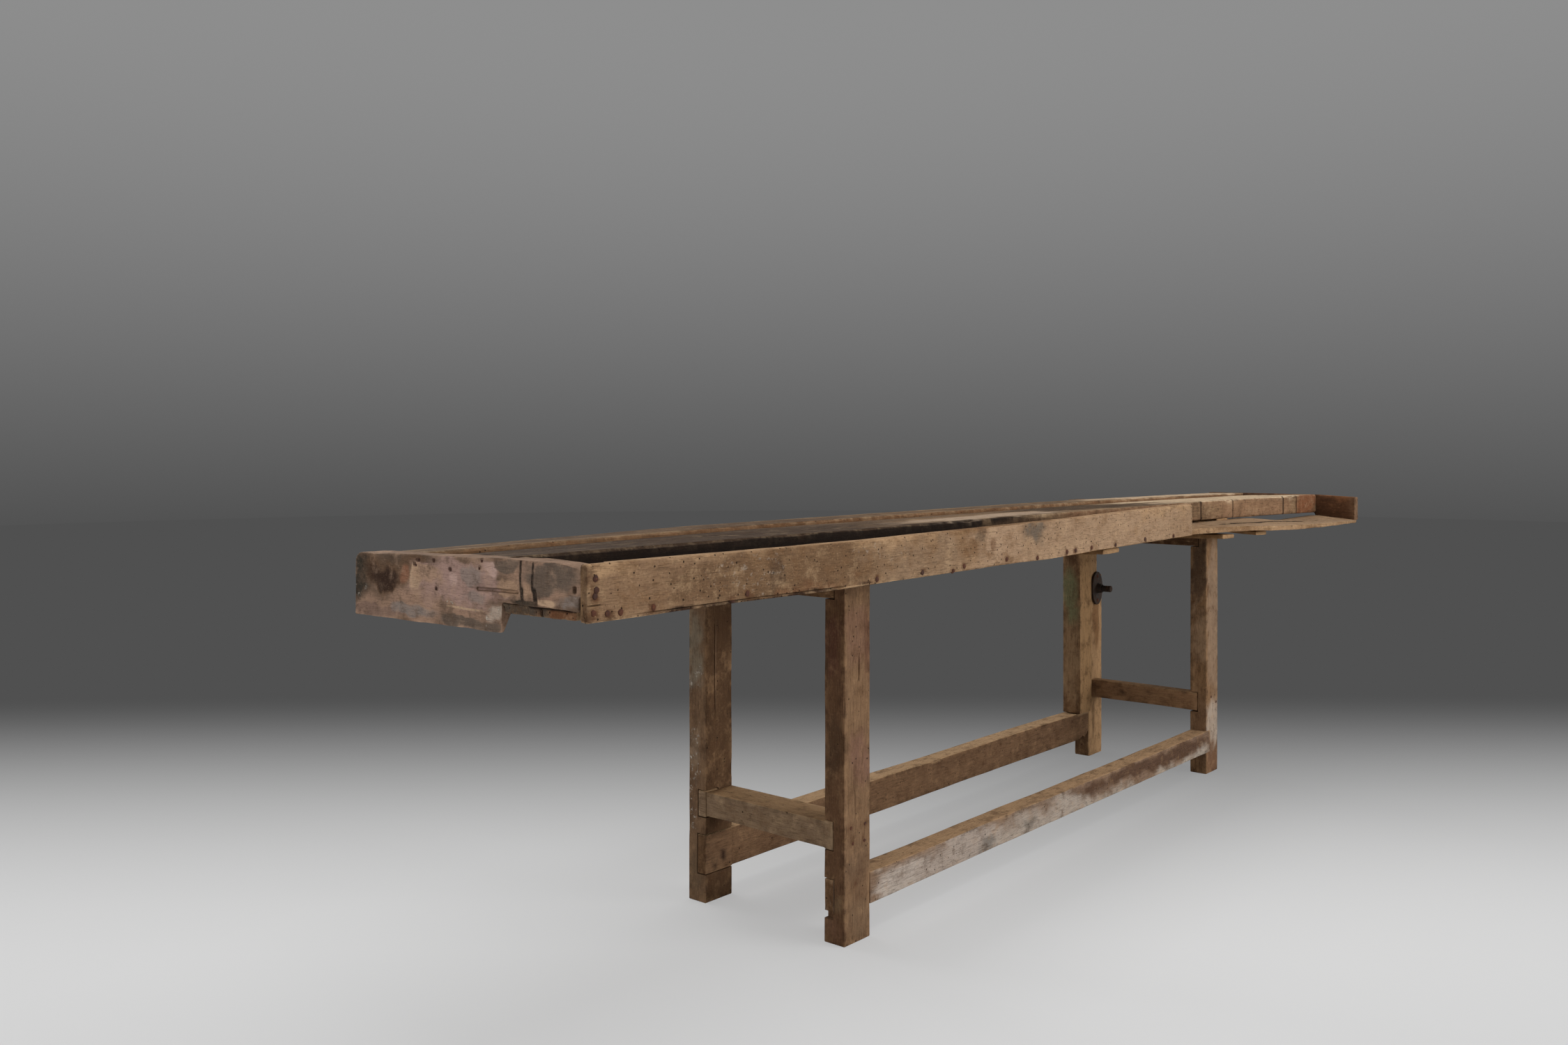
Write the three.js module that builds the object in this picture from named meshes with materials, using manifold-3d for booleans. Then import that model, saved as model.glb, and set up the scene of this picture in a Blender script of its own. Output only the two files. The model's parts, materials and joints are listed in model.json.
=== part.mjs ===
// An old joiner's workbench: a plank top with a tool tray along its back, a lapped trestle base
// and a leg vise on the right front leg. Millimetres, +Z up, standing on the floor at z = 0.
// The bench lies along X, its working edge faces +Y and its tool tray faces -Y.
import * as THREE from "three";
import { mergeVertices } from "three/addons/utils/BufferGeometryUtils.js";
import Module from "manifold-3d";

const wasm = await Module();
wasm.setup();

// Overall size and clearances
const TOP_LENGTH = 3590;
const TOP_DEPTH = 583;
const TOP_HEIGHT = 800;
const SEAT = 0.3; // left open where one piece sits on, in or against another
const RUN_FIT = 0.8; // all round a piece that slides or turns in its hole
const ARRIS = 1.5; // the eased long edges of every timber

// Plank top and its two ends
const FRONT_PLANK_WIDTH = 135;
const PLANK_THICK = 60;
const REAR_PLANK_WIDTH = 259;
const REAR_PLANK_DROP = 4; // the rear plank has worn lower than the front one
const END_CAP_THICK = 45;
const END_CAP_HEIGHT = 109;
const END_CAP_CORNER = 16;
const TONGUE_LENGTH = 20; // the planks are tongued into the end cap
const TONGUE_THICK = 18;
const END_BOARD_THICK = 36;
const END_BOARD_SETBACK = 58; // it stops short of the back of the tray

// Tool tray
const TRAY_SIDE_LENGTH = 2035; // sawn off short of the right end
const TRAY_SIDE_THICK = 24;
const TRAY_SIDE_HEIGHT = 80;
const TRAY_BOARD_THICK = 15;
const TRAY_OUTER_BOARD_WIDTH = 74;
const TRAY_CORNER_LENGTH = 170; // the outer board's broken, rounded right corner
const TRAY_CORNER_DEPTH = 62;
const TRAY_END_SAG = 17; // the boards' free right end hangs down past the last cleat

// Cleats that carry the tray from under the planks, two left of the right bearer and one past it
const CLEAT_WIDTH = 82;
const CLEAT_THICK = 12;
const CLEAT_TAIL_LENGTH = 270;
const CLEAT_INSET = 6; // short of the tray side
const END_CLEAT_INSET = 46;
const CLEAT_BEFORE_BEARER = 128;
const CLEAT_AFTER_BEARER = 82;
const CLEAT_SPACING = 710;

// Trestle base
const BASE_FROM_LEFT = 790;
const BASE_SPAN = 1733; // left face of the left legs to left face of the right legs
const TRAY_OVERHANG = 164; // tray side to the back legs
const LEG_WIDTH = 82;
const LEG_THICK = 49;
const BEARER_WIDTH = 60;
const BEARER_HEIGHT = 70;
const BEARER_FRONT_INSET = 12;
const STRETCHER_BOTTOM = 61;
const BACK_STRETCHER_HEIGHT = 63;
const FRONT_STRETCHER_HEIGHT = 82;
const STRETCHER_LAP = 23; // thickness that passes through the left leg
const RAIL_BOTTOM = 182;
const RAIL_HEIGHT = 54;
const RAIL_THICK = 38;
const RAIL_LAP = 21; // how far a rail end is let into a leg
const TENON_LENGTH = 22;
const TENON_THICK = 16;
const TENON_SHOULDER = 10; // above and below a tenon

// Vise leg and the post beside it
const VISE_LEG_WIDTH = 88;
const VISE_LEG_SHIFT = -18; // its left face against the right back leg's
const VISE_LEG_CUT_DEPTH = 34;
const VISE_LEG_CUT_LENGTH = 110; // down from the top of the leg
const POST_WIDTH = 75;
const POST_DEPTH = 59;

// Leg vise
const SCREW_BELOW_TOP = 280;
const SCREW_RADIUS = 10;
const SCREW_TAIL = 54; // past the back of the leg when the jaw is shut
const NUT_HEIGHT = 104;
const NUT_WIDTH = 66;
const NUT_FLANGE_THICK = 8;
const NUT_BOSS_RADIUS = 15;
const NUT_BOSS_LENGTH = 16;
const NUT_BOSS_TAPER = 2;
const NUT_BARREL_RADIUS = 16.5;
const NUT_BARREL_LENGTH = 38;
const JAW_GAP = 0.5;
const JAW_TRAVEL = 70; // the stop pin meets the leg just past it
const CHOP_WIDTH = 80;
const CHOP_THICK = 30;
const CHOP_BOTTOM = 118;
const CHOP_TOP_DROP = 4; // below the work surface
const CHOP_CHAMFER = 11;
const CHOP_FOOT_RADIUS = 24;
const CHOP_HEAD_RADIUS = 10;
const WASHER_RADIUS = 28;
const WASHER_THICK = 3;
const GARTER_THICK = 7; // the key that makes the jaw follow the screw
const GARTER_WIDTH = 46;
const GARTER_GROOVE_DEPTH = 3;
const COLLAR_RADIUS = 20;
const COLLAR_THICK = 4;
const HUB_RADIUS = 15;
const HUB_LENGTH = 20;
const HUB_DOME = 4;
const BAR_RADIUS = 5.5;
const BAR_LENGTH = 250;
const KNOB_RADIUS = 11;
const KNOB_SOCKET = 10; // length of bar inside a knob
const GUIDE_THICK = 16;
const GUIDE_HEIGHT = 40;
const GUIDE_RAIL_GAP = 5;
const GUIDE_PIN_RADIUS = 5;
const GUIDE_PIN_LENGTH = 44;
const GUIDE_HOLES = 3;
const GUIDE_HOLE_PITCH = 22;
const GUIDE_HOLE_END = 22; // last hole to the end of the guide
const ROUND = 28; // facets of a turned piece

// Places that follow from the sizes
const jawFront = JAW_GAP + CHOP_THICK;
const collarBack = jawFront + SEAT + WASHER_THICK + SEAT;
const hubFront = collarBack + COLLAR_THICK + HUB_LENGTH;
const left = -TOP_LENGTH / 2;
const right = TOP_LENGTH / 2;
const front = (TOP_DEPTH - hubFront) / 2;
const back = front - TOP_DEPTH;
const plankBottom = TOP_HEIGHT - PLANK_THICK;
const plankSplit = front - FRONT_PLANK_WIDTH;
const plankBack = plankSplit - SEAT - REAR_PLANK_WIDTH;
const trayInside = back + TRAY_SIDE_THICK;
const trayBottom = TOP_HEIGHT - TRAY_SIDE_HEIGHT;
const trayFloor = trayBottom + TRAY_BOARD_THICK;
const legTop = plankBottom - BEARER_HEIGHT;
const legsLeft = left + BASE_FROM_LEFT;
const legsRight = legsLeft + BASE_SPAN;
const lastCleat = legsRight + BEARER_WIDTH + CLEAT_AFTER_BEARER;
const trayHangsFrom = lastCleat + CLEAT_WIDTH;
const backLegs = back + TRAY_OVERHANG; // back face of the back legs
const frontLegs = front - LEG_THICK; // back face of the front legs
const viseLegLeft = legsRight + VISE_LEG_SHIFT;
const screwX = viseLegLeft + VISE_LEG_WIDTH / 2;
const screwHeight = TOP_HEIGHT - SCREW_BELOW_TOP;

const timberColours = {
  top: 0x8a6a48,
  cap: 0x9a8068,
  tray: 0xa87f55,
  base: 0x94704b,
  pale: 0xb99870,
};
const timber = (tone) =>
  new THREE.MeshStandardMaterial({
    color: timberColours[tone],
    roughness: 0.85,
    metalness: 0,
  });
const iron = new THREE.MeshStandardMaterial({
  color: 0x4a3f38,
  roughness: 0.7,
  metalness: 0.8,
});

// A closed geometry as a solid that can be joined and cut
function solid(geometry) {
  const bare = geometry.clone();
  bare.deleteAttribute("normal");
  bare.deleteAttribute("uv");
  const merged = mergeVertices(bare, 1e-4);
  const corners = merged.index.array;
  const triVerts = [];
  for (let i = 0; i < corners.length; i += 3) {
    const [a, b, c] = corners.slice(i, i + 3);
    if (a !== b && b !== c && c !== a) triVerts.push(a, b, c);
  }
  return new wasm.Manifold(
    new wasm.Mesh({
      numProp: 3,
      vertProperties: merged.attributes.position.array,
      triVerts: new Uint32Array(triVerts),
    }),
  );
}

// A solid as one named mesh
function piece(name, body, material) {
  const { vertProperties, triVerts } = body.getMesh();
  const geometry = new THREE.BufferGeometry();
  geometry.setAttribute("position", new THREE.BufferAttribute(vertProperties, 3));
  geometry.setIndex(new THREE.BufferAttribute(triVerts, 1));
  geometry.computeVertexNormals();
  const mesh = new THREE.Mesh(geometry, material);
  mesh.name = name;
  return mesh;
}

// A plain box between two values on each axis, for cuts and tenons
function block([x0, x1], [y0, y1], [z0, z1]) {
  const box = new THREE.BoxGeometry(x1 - x0, y1 - y0, z1 - z0);
  return solid(box.translate((x0 + x1) / 2, (y0 + y1) / 2, (z0 + z1) / 2));
}

// A sawn timber between two values on each axis, its long edges eased
function board(xs, ys, zs, along) {
  const turn = { x: [ys, zs, xs], y: [zs, xs, ys], z: [xs, ys, zs] }[along];
  const [[u0, u1], [v0, v1], [w0, w1]] = turn;
  const section = new THREE.Shape();
  section.moveTo(u0 + ARRIS, v0);
  section.lineTo(u1 - ARRIS, v0);
  section.lineTo(u1, v0 + ARRIS);
  section.lineTo(u1, v1 - ARRIS);
  section.lineTo(u1 - ARRIS, v1);
  section.lineTo(u0 + ARRIS, v1);
  section.lineTo(u0, v1 - ARRIS);
  section.lineTo(u0, v0 + ARRIS);
  const body = new THREE.ExtrudeGeometry(section, { depth: w1 - w0, bevelEnabled: false });
  body.translate(0, 0, w0);
  if (along === "x") body.applyMatrix4(axes([0, 1, 0], [0, 0, 1], [1, 0, 0]));
  if (along === "y") body.applyMatrix4(axes([0, 0, 1], [1, 0, 0], [0, 1, 0]));
  return solid(body);
}

// The turn that takes a profile's own axes to the three directions given
function axes(u, v, w) {
  const [a, b, c] = [u, v, w].map((d) => new THREE.Vector3(...d));
  return new THREE.Matrix4().makeBasis(a, b, c);
}

// A profile in Y and Z, run along X
function runAlongX(profile, x0, x1) {
  const body = new THREE.ExtrudeGeometry(profile, {
    depth: x1 - x0,
    bevelEnabled: false,
    curveSegments: 8,
  });
  body.translate(0, 0, x0);
  return solid(body.applyMatrix4(axes([0, 1, 0], [0, 0, 1], [1, 0, 0])));
}

// A profile in X and Z, run along Y
function runAlongY(profile, y0, y1) {
  const body = new THREE.ExtrudeGeometry(profile, {
    depth: y1 - y0,
    bevelEnabled: false,
    curveSegments: 10,
  });
  body.translate(0, 0, -y1);
  return solid(body.applyMatrix4(axes([1, 0, 0], [0, 0, 1], [0, -1, 0])));
}

// A piece turned about Y from [radius, y] pairs, which run from its back end to its front end
function turned(profile, facets = ROUND) {
  const points = profile.map(([radius, y]) => new THREE.Vector2(radius, y));
  return solid(new THREE.LatheGeometry(points, facets));
}

// A round bar along Y
const rod = (radius, y0, y1) =>
  turned([
    [0, y0],
    [radius, y0],
    [radius, y1],
    [0, y1],
  ]);

const grown = ([low, high], by) => [low - by, high + by];

// How far the tray's boards hang below their level stretch
function traySag(x) {
  const along = Math.max(0, (x - trayHangsFrom) / (right - trayHangsFrom));
  return TRAY_END_SAG * along * along;
}

// Trestle base
function makeBase() {
  const base = new THREE.Group();
  const leftX = [legsLeft, legsLeft + LEG_WIDTH];
  const rightX = [legsRight, legsRight + LEG_WIDTH];
  const viseX = [viseLegLeft, viseLegLeft + VISE_LEG_WIDTH];
  const backY = [backLegs, backLegs + LEG_THICK];
  const frontY = [frontLegs, front];
  const upright = [0, legTop - SEAT];

  // Stretchers: lapped through the left leg, tenoned into the right one
  const stretcher = (name, legY, lapY, height, endX) => {
    const z = [STRETCHER_BOTTOM, STRETCHER_BOTTOM + height];
    const x = [leftX[1] + SEAT, endX - SEAT];
    const middleY = (legY[0] + legY[1]) / 2;
    const tenonX = [x[1] - SEAT, endX + TENON_LENGTH];
    const tenonY = [middleY - TENON_THICK / 2, middleY + TENON_THICK / 2];
    const tenonZ = grown(z, -TENON_SHOULDER);
    const tongue = block([leftX[0], x[0] + SEAT], lapY, z);
    const body = board(x, legY, z, "x").add(tongue).add(block(tenonX, tenonY, tenonZ));
    base.add(piece(name, body, timber("base")));
    return {
      lap: block(grown(leftX, SEAT), grown(lapY, SEAT), grown(z, SEAT)),
      mortise: block(grown(tenonX, SEAT), grown(tenonY, SEAT), grown(tenonZ, SEAT)),
    };
  };
  const backLapY = [backY[1] - STRETCHER_LAP, backY[1]];
  const frontLapY = [frontY[0], frontY[0] + STRETCHER_LAP];
  const backJoint = stretcher(
    "stretcher_back",
    backY,
    backLapY,
    BACK_STRETCHER_HEIGHT,
    rightX[0],
  );
  const frontJoint = stretcher(
    "stretcher_front",
    frontY,
    frontLapY,
    FRONT_STRETCHER_HEIGHT,
    viseX[0],
  );

  // End rails: let into the left faces of the legs, the right one tenoned into the vise leg
  const railZ = [RAIL_BOTTOM, RAIL_BOTTOM + RAIL_HEIGHT];
  const railLeftX = [leftX[0], leftX[0] + RAIL_THICK];
  const railRightX = [rightX[0], rightX[0] + RAIL_THICK];
  const railBackEnd = backY[1] - RAIL_LAP;
  const railFrontEnd = frontY[0] + RAIL_LAP;
  const railLeftY = [railBackEnd, railFrontEnd];
  const railRightY = [railBackEnd, frontY[0] - SEAT];
  const railMiddle = (railRightX[0] + railRightX[1]) / 2;
  const railTenonX = [railMiddle - TENON_THICK / 2, railMiddle + TENON_THICK / 2];
  const railTenonY = [railRightY[1] - SEAT, frontY[0] + TENON_LENGTH];
  const railTenonZ = grown(railZ, -TENON_SHOULDER);
  const railCut = (x, y) => block(grown(x, SEAT), grown(y, SEAT), grown(railZ, SEAT));
  base.add(piece("end_rail_left", board(railLeftX, railLeftY, railZ, "y"), timber("base")));
  const railRight = board(railRightX, railRightY, railZ, "y");
  const railTenon = block(railTenonX, railTenonY, railTenonZ);
  base.add(piece("end_rail_right", railRight.add(railTenon), timber("base")));

  // Bearers across the leg tops, stepped down where they pass under the tray
  const bearerY = [backLegs, front - BEARER_FRONT_INSET];
  const bearer = (name, x0) => {
    const x = [x0, x0 + BEARER_WIDTH];
    const whole = board(x, bearerY, [legTop, plankBottom - SEAT], "y");
    const trayStep = block(
      grown(x, SEAT),
      [bearerY[0] - SEAT, plankBack + SEAT],
      [trayBottom - SEAT, plankBottom],
    );
    base.add(piece(name, whole.subtract(trayStep), timber("base")));
  };
  bearer("bearer_left", leftX[0]);
  bearer("bearer_right", rightX[0]);

  // Legs
  const leg = (name, x, y, cuts) => {
    const body = cuts.reduce((rest, cut) => rest.subtract(cut), board(x, y, upright, "z"));
    base.add(piece(name, body, timber("base")));
  };
  const railLeftCut = railCut(railLeftX, railLeftY);
  leg("leg_back_left", leftX, backY, [backJoint.lap, railLeftCut]);
  leg("leg_front_left", leftX, frontY, [frontJoint.lap, railLeftCut]);
  leg("leg_back_right", rightX, backY, [backJoint.mortise, railCut(railRightX, railRightY)]);
  const cutAway = block(
    [viseX[1] - VISE_LEG_CUT_DEPTH, viseX[1] + SEAT],
    grown(frontY, SEAT),
    [legTop - VISE_LEG_CUT_LENGTH, legTop],
  );
  const railMortise = block(
    grown(railTenonX, SEAT),
    grown(railTenonY, SEAT),
    grown(railTenonZ, SEAT),
  );
  const hole = (radius, y0, y1) => rod(radius, y0, y1).translate([screwX, 0, screwHeight]);
  const barrelHole = hole(
    NUT_BARREL_RADIUS + SEAT,
    frontLegs - SEAT,
    frontLegs + NUT_BARREL_LENGTH + SEAT,
  );
  const guideSlot = block(
    grown(guideX(), RUN_FIT),
    grown(frontY, SEAT),
    grown(guideZ(), RUN_FIT),
  );
  leg("leg_front_right", viseX, frontY, [
    frontJoint.mortise,
    railMortise,
    cutAway,
    barrelHole,
    hole(SCREW_RADIUS + RUN_FIT, frontLegs, front + SEAT),
    guideSlot,
  ]);

  // The post that stiffens the vise leg stands on the front stretcher
  const postX = [viseX[0] - SEAT - POST_WIDTH, viseX[0] - SEAT];
  const postY = [front - POST_DEPTH, front];
  const postZ = [STRETCHER_BOTTOM + FRONT_STRETCHER_HEIGHT + SEAT, plankBottom - SEAT];
  base.add(piece("vise_leg_post", board(postX, postY, postZ, "z"), timber("base")));
  return base;
}

// The guide runs through the vise leg beside the right end rail
function guideX() {
  const x0 = legsRight + RAIL_THICK + GUIDE_RAIL_GAP;
  return [x0, x0 + GUIDE_THICK];
}

function guideZ() {
  const middle = RAIL_BOTTOM + RAIL_HEIGHT / 2;
  return [middle - GUIDE_HEIGHT / 2, middle + GUIDE_HEIGHT / 2];
}

// Plank top with its end cap and end board
function makeTop() {
  const top = new THREE.Group();
  const x = [left + END_CAP_THICK + SEAT, right - END_BOARD_THICK - SEAT];
  const middleZ = plankBottom + (PLANK_THICK - REAR_PLANK_DROP) / 2;
  const tongueZ = [middleZ - TONGUE_THICK / 2, middleZ + TONGUE_THICK / 2];
  const tongueX = [x[0] - SEAT - TONGUE_LENGTH, x[0] + SEAT];
  const plank = (name, y, topZ) => {
    const body = board(x, y, [plankBottom, topZ], "x");
    const tongue = block(tongueX, grown(y, -ARRIS), tongueZ);
    top.add(piece(name, body.add(tongue), timber("top")));
  };
  plank("front_plank", [plankSplit, front], TOP_HEIGHT);
  plank("rear_plank", [plankBack, plankSplit - SEAT], TOP_HEIGHT - REAR_PLANK_DROP);

  // The end cap is cut away at the back, where the tray's boards run out under it
  const capBottom = TOP_HEIGHT - END_CAP_HEIGHT;
  const cap = new THREE.Shape();
  cap.moveTo(trayInside + SEAT, TOP_HEIGHT);
  cap.lineTo(trayInside + SEAT, trayFloor + SEAT);
  cap.lineTo(plankBack + SEAT, trayFloor + SEAT);
  cap.lineTo(plankBack + SEAT, capBottom);
  cap.lineTo(front - ARRIS, capBottom);
  cap.lineTo(front, capBottom + ARRIS);
  cap.absarc(
    front - END_CAP_CORNER,
    TOP_HEIGHT - END_CAP_CORNER,
    END_CAP_CORNER,
    0,
    Math.PI / 2,
    false,
  );
  const groove = block(
    grown(tongueX, SEAT),
    [plankBack - SEAT, front + SEAT],
    grown(tongueZ, SEAT),
  );
  const capBody = runAlongX(cap, left, left + END_CAP_THICK).subtract(groove);
  top.add(piece("end_cap_left", capBody, timber("cap")));

  // The end board reaches down to the hanging end of the tray
  const endBoardX = [right - END_BOARD_THICK, right];
  const endBoard = board(
    endBoardX,
    [back + END_BOARD_SETBACK, front],
    [trayFloor - traySag(endBoardX[0]) + SEAT, TOP_HEIGHT],
    "y",
  );
  top.add(piece("end_board_right", endBoard, timber("top")));
  return top;
}

// Tool tray along the back, carried by cleats under the planks
function makeTray() {
  const tray = new THREE.Group();
  const side = board(
    [left, left + TRAY_SIDE_LENGTH],
    [back, trayInside],
    [trayBottom, TOP_HEIGHT],
    "x",
  );
  tray.add(piece("tray_side", side, timber("tray")));

  // Floor boards: a side view with the hanging end, and for the outer one a plan with its corner
  const boardSplit = trayInside + SEAT + TRAY_OUTER_BOARD_WIDTH;
  const midHang = (trayHangsFrom + right) / 2;
  const sideView = new THREE.Shape();
  sideView.moveTo(left, trayBottom);
  sideView.lineTo(trayHangsFrom, trayBottom);
  sideView.quadraticCurveTo(midHang, trayBottom, right, trayBottom - TRAY_END_SAG);
  sideView.lineTo(right, trayFloor - TRAY_END_SAG);
  sideView.quadraticCurveTo(midHang, trayFloor, trayHangsFrom, trayFloor);
  sideView.lineTo(left, trayFloor);
  const inner = runAlongY(sideView, boardSplit + SEAT, plankBack);
  tray.add(piece("tray_board_inner", inner, timber("tray")));
  const outline = new THREE.Shape();
  outline.moveTo(left, trayInside + SEAT);
  outline.lineTo(right - TRAY_CORNER_LENGTH, trayInside + SEAT);
  outline.quadraticCurveTo(
    right,
    trayInside + SEAT,
    right,
    trayInside + SEAT + TRAY_CORNER_DEPTH,
  );
  outline.lineTo(right, boardSplit);
  outline.lineTo(left, boardSplit);
  const plan = new THREE.ExtrudeGeometry(outline, {
    depth: TRAY_BOARD_THICK + 2 * TRAY_END_SAG,
    bevelEnabled: false,
    curveSegments: 8,
  });
  plan.translate(0, 0, trayBottom - 1.5 * TRAY_END_SAG);
  const outer = runAlongY(sideView, trayInside, boardSplit).intersect(solid(plan));
  tray.add(piece("tray_board_outer", outer, timber("tray")));

  const beforeBearer = legsRight - CLEAT_BEFORE_BEARER - CLEAT_WIDTH;
  const cleats = [
    { x0: beforeBearer - CLEAT_SPACING, inset: CLEAT_INSET },
    { x0: beforeBearer, inset: CLEAT_INSET },
    { x0: lastCleat, inset: END_CLEAT_INSET },
  ];
  cleats.forEach(({ x0, inset }, i) => {
    const low = trayBottom - SEAT - CLEAT_THICK;
    const profile = new THREE.Shape();
    profile.moveTo(trayInside + inset, low);
    profile.lineTo(plankBack + CLEAT_TAIL_LENGTH, low);
    profile.lineTo(plankBack + CLEAT_TAIL_LENGTH, plankBottom - SEAT);
    profile.lineTo(plankBack + SEAT, plankBottom - SEAT);
    profile.lineTo(plankBack + SEAT, trayBottom - SEAT);
    profile.lineTo(trayInside + inset, trayBottom - SEAT);
    const body = runAlongX(profile, x0, x0 + CLEAT_WIDTH);
    tray.add(piece(`tray_cleat_${i + 1}`, body, timber("pale")));
  });
  return tray;
}

// Leg vise, in its own frame: the screw's axis is Y and the front of the leg is y = 0
function makeVise() {
  const vise = new THREE.Group();
  vise.position.set(screwX, front, screwHeight);
  const legBack = -LEG_THICK;
  const threadHole = SCREW_RADIUS + RUN_FIT;

  // Nut: an oval flange screwed to the back of the leg, its barrel let into the wood
  const oval = new THREE.Shape();
  oval.absellipse(0, 0, NUT_WIDTH / 2, NUT_HEIGHT / 2, 0, 2 * Math.PI);
  const flangeBack = legBack - SEAT - NUT_FLANGE_THICK;
  const flange = runAlongY(oval, flangeBack, legBack - SEAT);
  const bossBack = flangeBack - NUT_BOSS_LENGTH;
  const barrelEnd = legBack + NUT_BARREL_LENGTH;
  const stem = turned([
    [0, bossBack],
    [NUT_BOSS_RADIUS - NUT_BOSS_TAPER, bossBack],
    [NUT_BOSS_RADIUS, flangeBack],
    [NUT_BARREL_RADIUS, legBack - SEAT],
    [NUT_BARREL_RADIUS, barrelEnd],
    [0, barrelEnd],
  ]);
  const bore = rod(threadHole, bossBack - SEAT, barrelEnd + SEAT);
  vise.add(piece("vise_nut", flange.add(stem).subtract(bore), iron));

  // Chop: the wooden jaw, chamfered along its front edges
  const chopBottom = CHOP_BOTTOM - screwHeight;
  const chopTop = TOP_HEIGHT - CHOP_TOP_DROP - screwHeight;
  const half = CHOP_WIDTH / 2;
  const face = new THREE.Shape();
  face.absarc(
    half - CHOP_HEAD_RADIUS,
    chopTop - CHOP_HEAD_RADIUS,
    CHOP_HEAD_RADIUS,
    0,
    Math.PI / 2,
    false,
  );
  face.absarc(
    CHOP_HEAD_RADIUS - half,
    chopTop - CHOP_HEAD_RADIUS,
    CHOP_HEAD_RADIUS,
    Math.PI / 2,
    Math.PI,
    false,
  );
  face.absarc(
    CHOP_FOOT_RADIUS - half,
    chopBottom + CHOP_FOOT_RADIUS,
    CHOP_FOOT_RADIUS,
    Math.PI,
    1.5 * Math.PI,
    false,
  );
  face.absarc(
    half - CHOP_FOOT_RADIUS,
    chopBottom + CHOP_FOOT_RADIUS,
    CHOP_FOOT_RADIUS,
    1.5 * Math.PI,
    2 * Math.PI,
    false,
  );
  const chamferCut = (side) => {
    const corner = new THREE.Shape();
    corner.moveTo(side * half, jawFront - CHOP_CHAMFER);
    corner.lineTo(side * (half + SEAT), jawFront - CHOP_CHAMFER);
    corner.lineTo(side * (half + SEAT), jawFront + SEAT);
    corner.lineTo(side * (half - CHOP_CHAMFER), jawFront + SEAT);
    corner.lineTo(side * (half - CHOP_CHAMFER), jawFront);
    const cut = new THREE.ExtrudeGeometry(corner, {
      depth: chopTop - chopBottom + 2 * SEAT,
      bevelEnabled: false,
    });
    return solid(cut.translate(0, 0, chopBottom - SEAT));
  };
  const garterY = jawFront / 2;
  const garterYs = [garterY - GARTER_THICK / 2, garterY + GARTER_THICK / 2];
  const garterZs = [-GARTER_WIDTH / 2, GARTER_WIDTH / 2];
  const garterReach = SCREW_RADIUS + 2 * RUN_FIT; // past the screw's axis
  const garterXs = [-half, garterReach];
  const localGuideX = guideX().map((x) => x - screwX);
  const localGuideZ = guideZ().map((z) => z - screwHeight);
  const chop = runAlongY(face, JAW_GAP, jawFront)
    .subtract(chamferCut(-1))
    .subtract(chamferCut(1))
    .subtract(rod(threadHole, JAW_GAP - SEAT, jawFront + SEAT))
    .subtract(block(grown(garterXs, SEAT), grown(garterYs, SEAT), grown(garterZs, SEAT)))
    .subtract(
      block(
        grown(localGuideX, SEAT),
        [JAW_GAP - SEAT, jawFront + SEAT],
        grown(localGuideZ, SEAT),
      ),
    );
  vise.add(piece("vise_chop", chop, timber("base")));

  // Garter: a forked key in the jaw that rides in a groove of the screw
  const neck = SCREW_RADIUS - GARTER_GROOVE_DEPTH;
  const forkHalf = neck + RUN_FIT;
  const fork = block([0, garterReach + SEAT], grown(garterYs, SEAT), [-forkHalf, forkHalf]);
  const garter = block(garterXs, garterYs, garterZs)
    .subtract(fork)
    .subtract(rod(forkHalf, ...grown(garterYs, SEAT)));
  vise.add(piece("screw_garter", garter, timber("pale")));

  const washerYs = [jawFront + SEAT, jawFront + SEAT + WASHER_THICK];
  const washer = rod(WASHER_RADIUS, ...washerYs).subtract(
    rod(threadHole, ...grown(washerYs, SEAT)),
  );
  vise.add(piece("vise_washer", washer, iron));

  // Screw: grooved for the garter, with a collar and a hub drilled for the bar
  const tail = legBack - SCREW_TAIL;
  const grooveYs = grown(garterYs, RUN_FIT);
  const screwBody = turned([
    [0, tail],
    [SCREW_RADIUS - ARRIS, tail],
    [SCREW_RADIUS, tail + ARRIS],
    [SCREW_RADIUS, grooveYs[0]],
    [neck, grooveYs[0]],
    [neck, grooveYs[1]],
    [SCREW_RADIUS, grooveYs[1]],
    [SCREW_RADIUS, collarBack],
    [COLLAR_RADIUS, collarBack],
    [COLLAR_RADIUS, collarBack + COLLAR_THICK],
    [HUB_RADIUS, collarBack + COLLAR_THICK],
    [HUB_RADIUS, hubFront - HUB_DOME],
    [HUB_RADIUS - HUB_DOME, hubFront],
    [0, hubFront],
  ]);
  const barY = collarBack + COLLAR_THICK + HUB_LENGTH / 2;
  const standing = (body) => body.rotate([90, 0, 0]).translate([0, barY, 0]);
  const crossHole = standing(rod(BAR_RADIUS + RUN_FIT, -COLLAR_RADIUS, COLLAR_RADIUS));
  vise.add(piece("vise_screw", screwBody.subtract(crossHole), iron));

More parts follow.
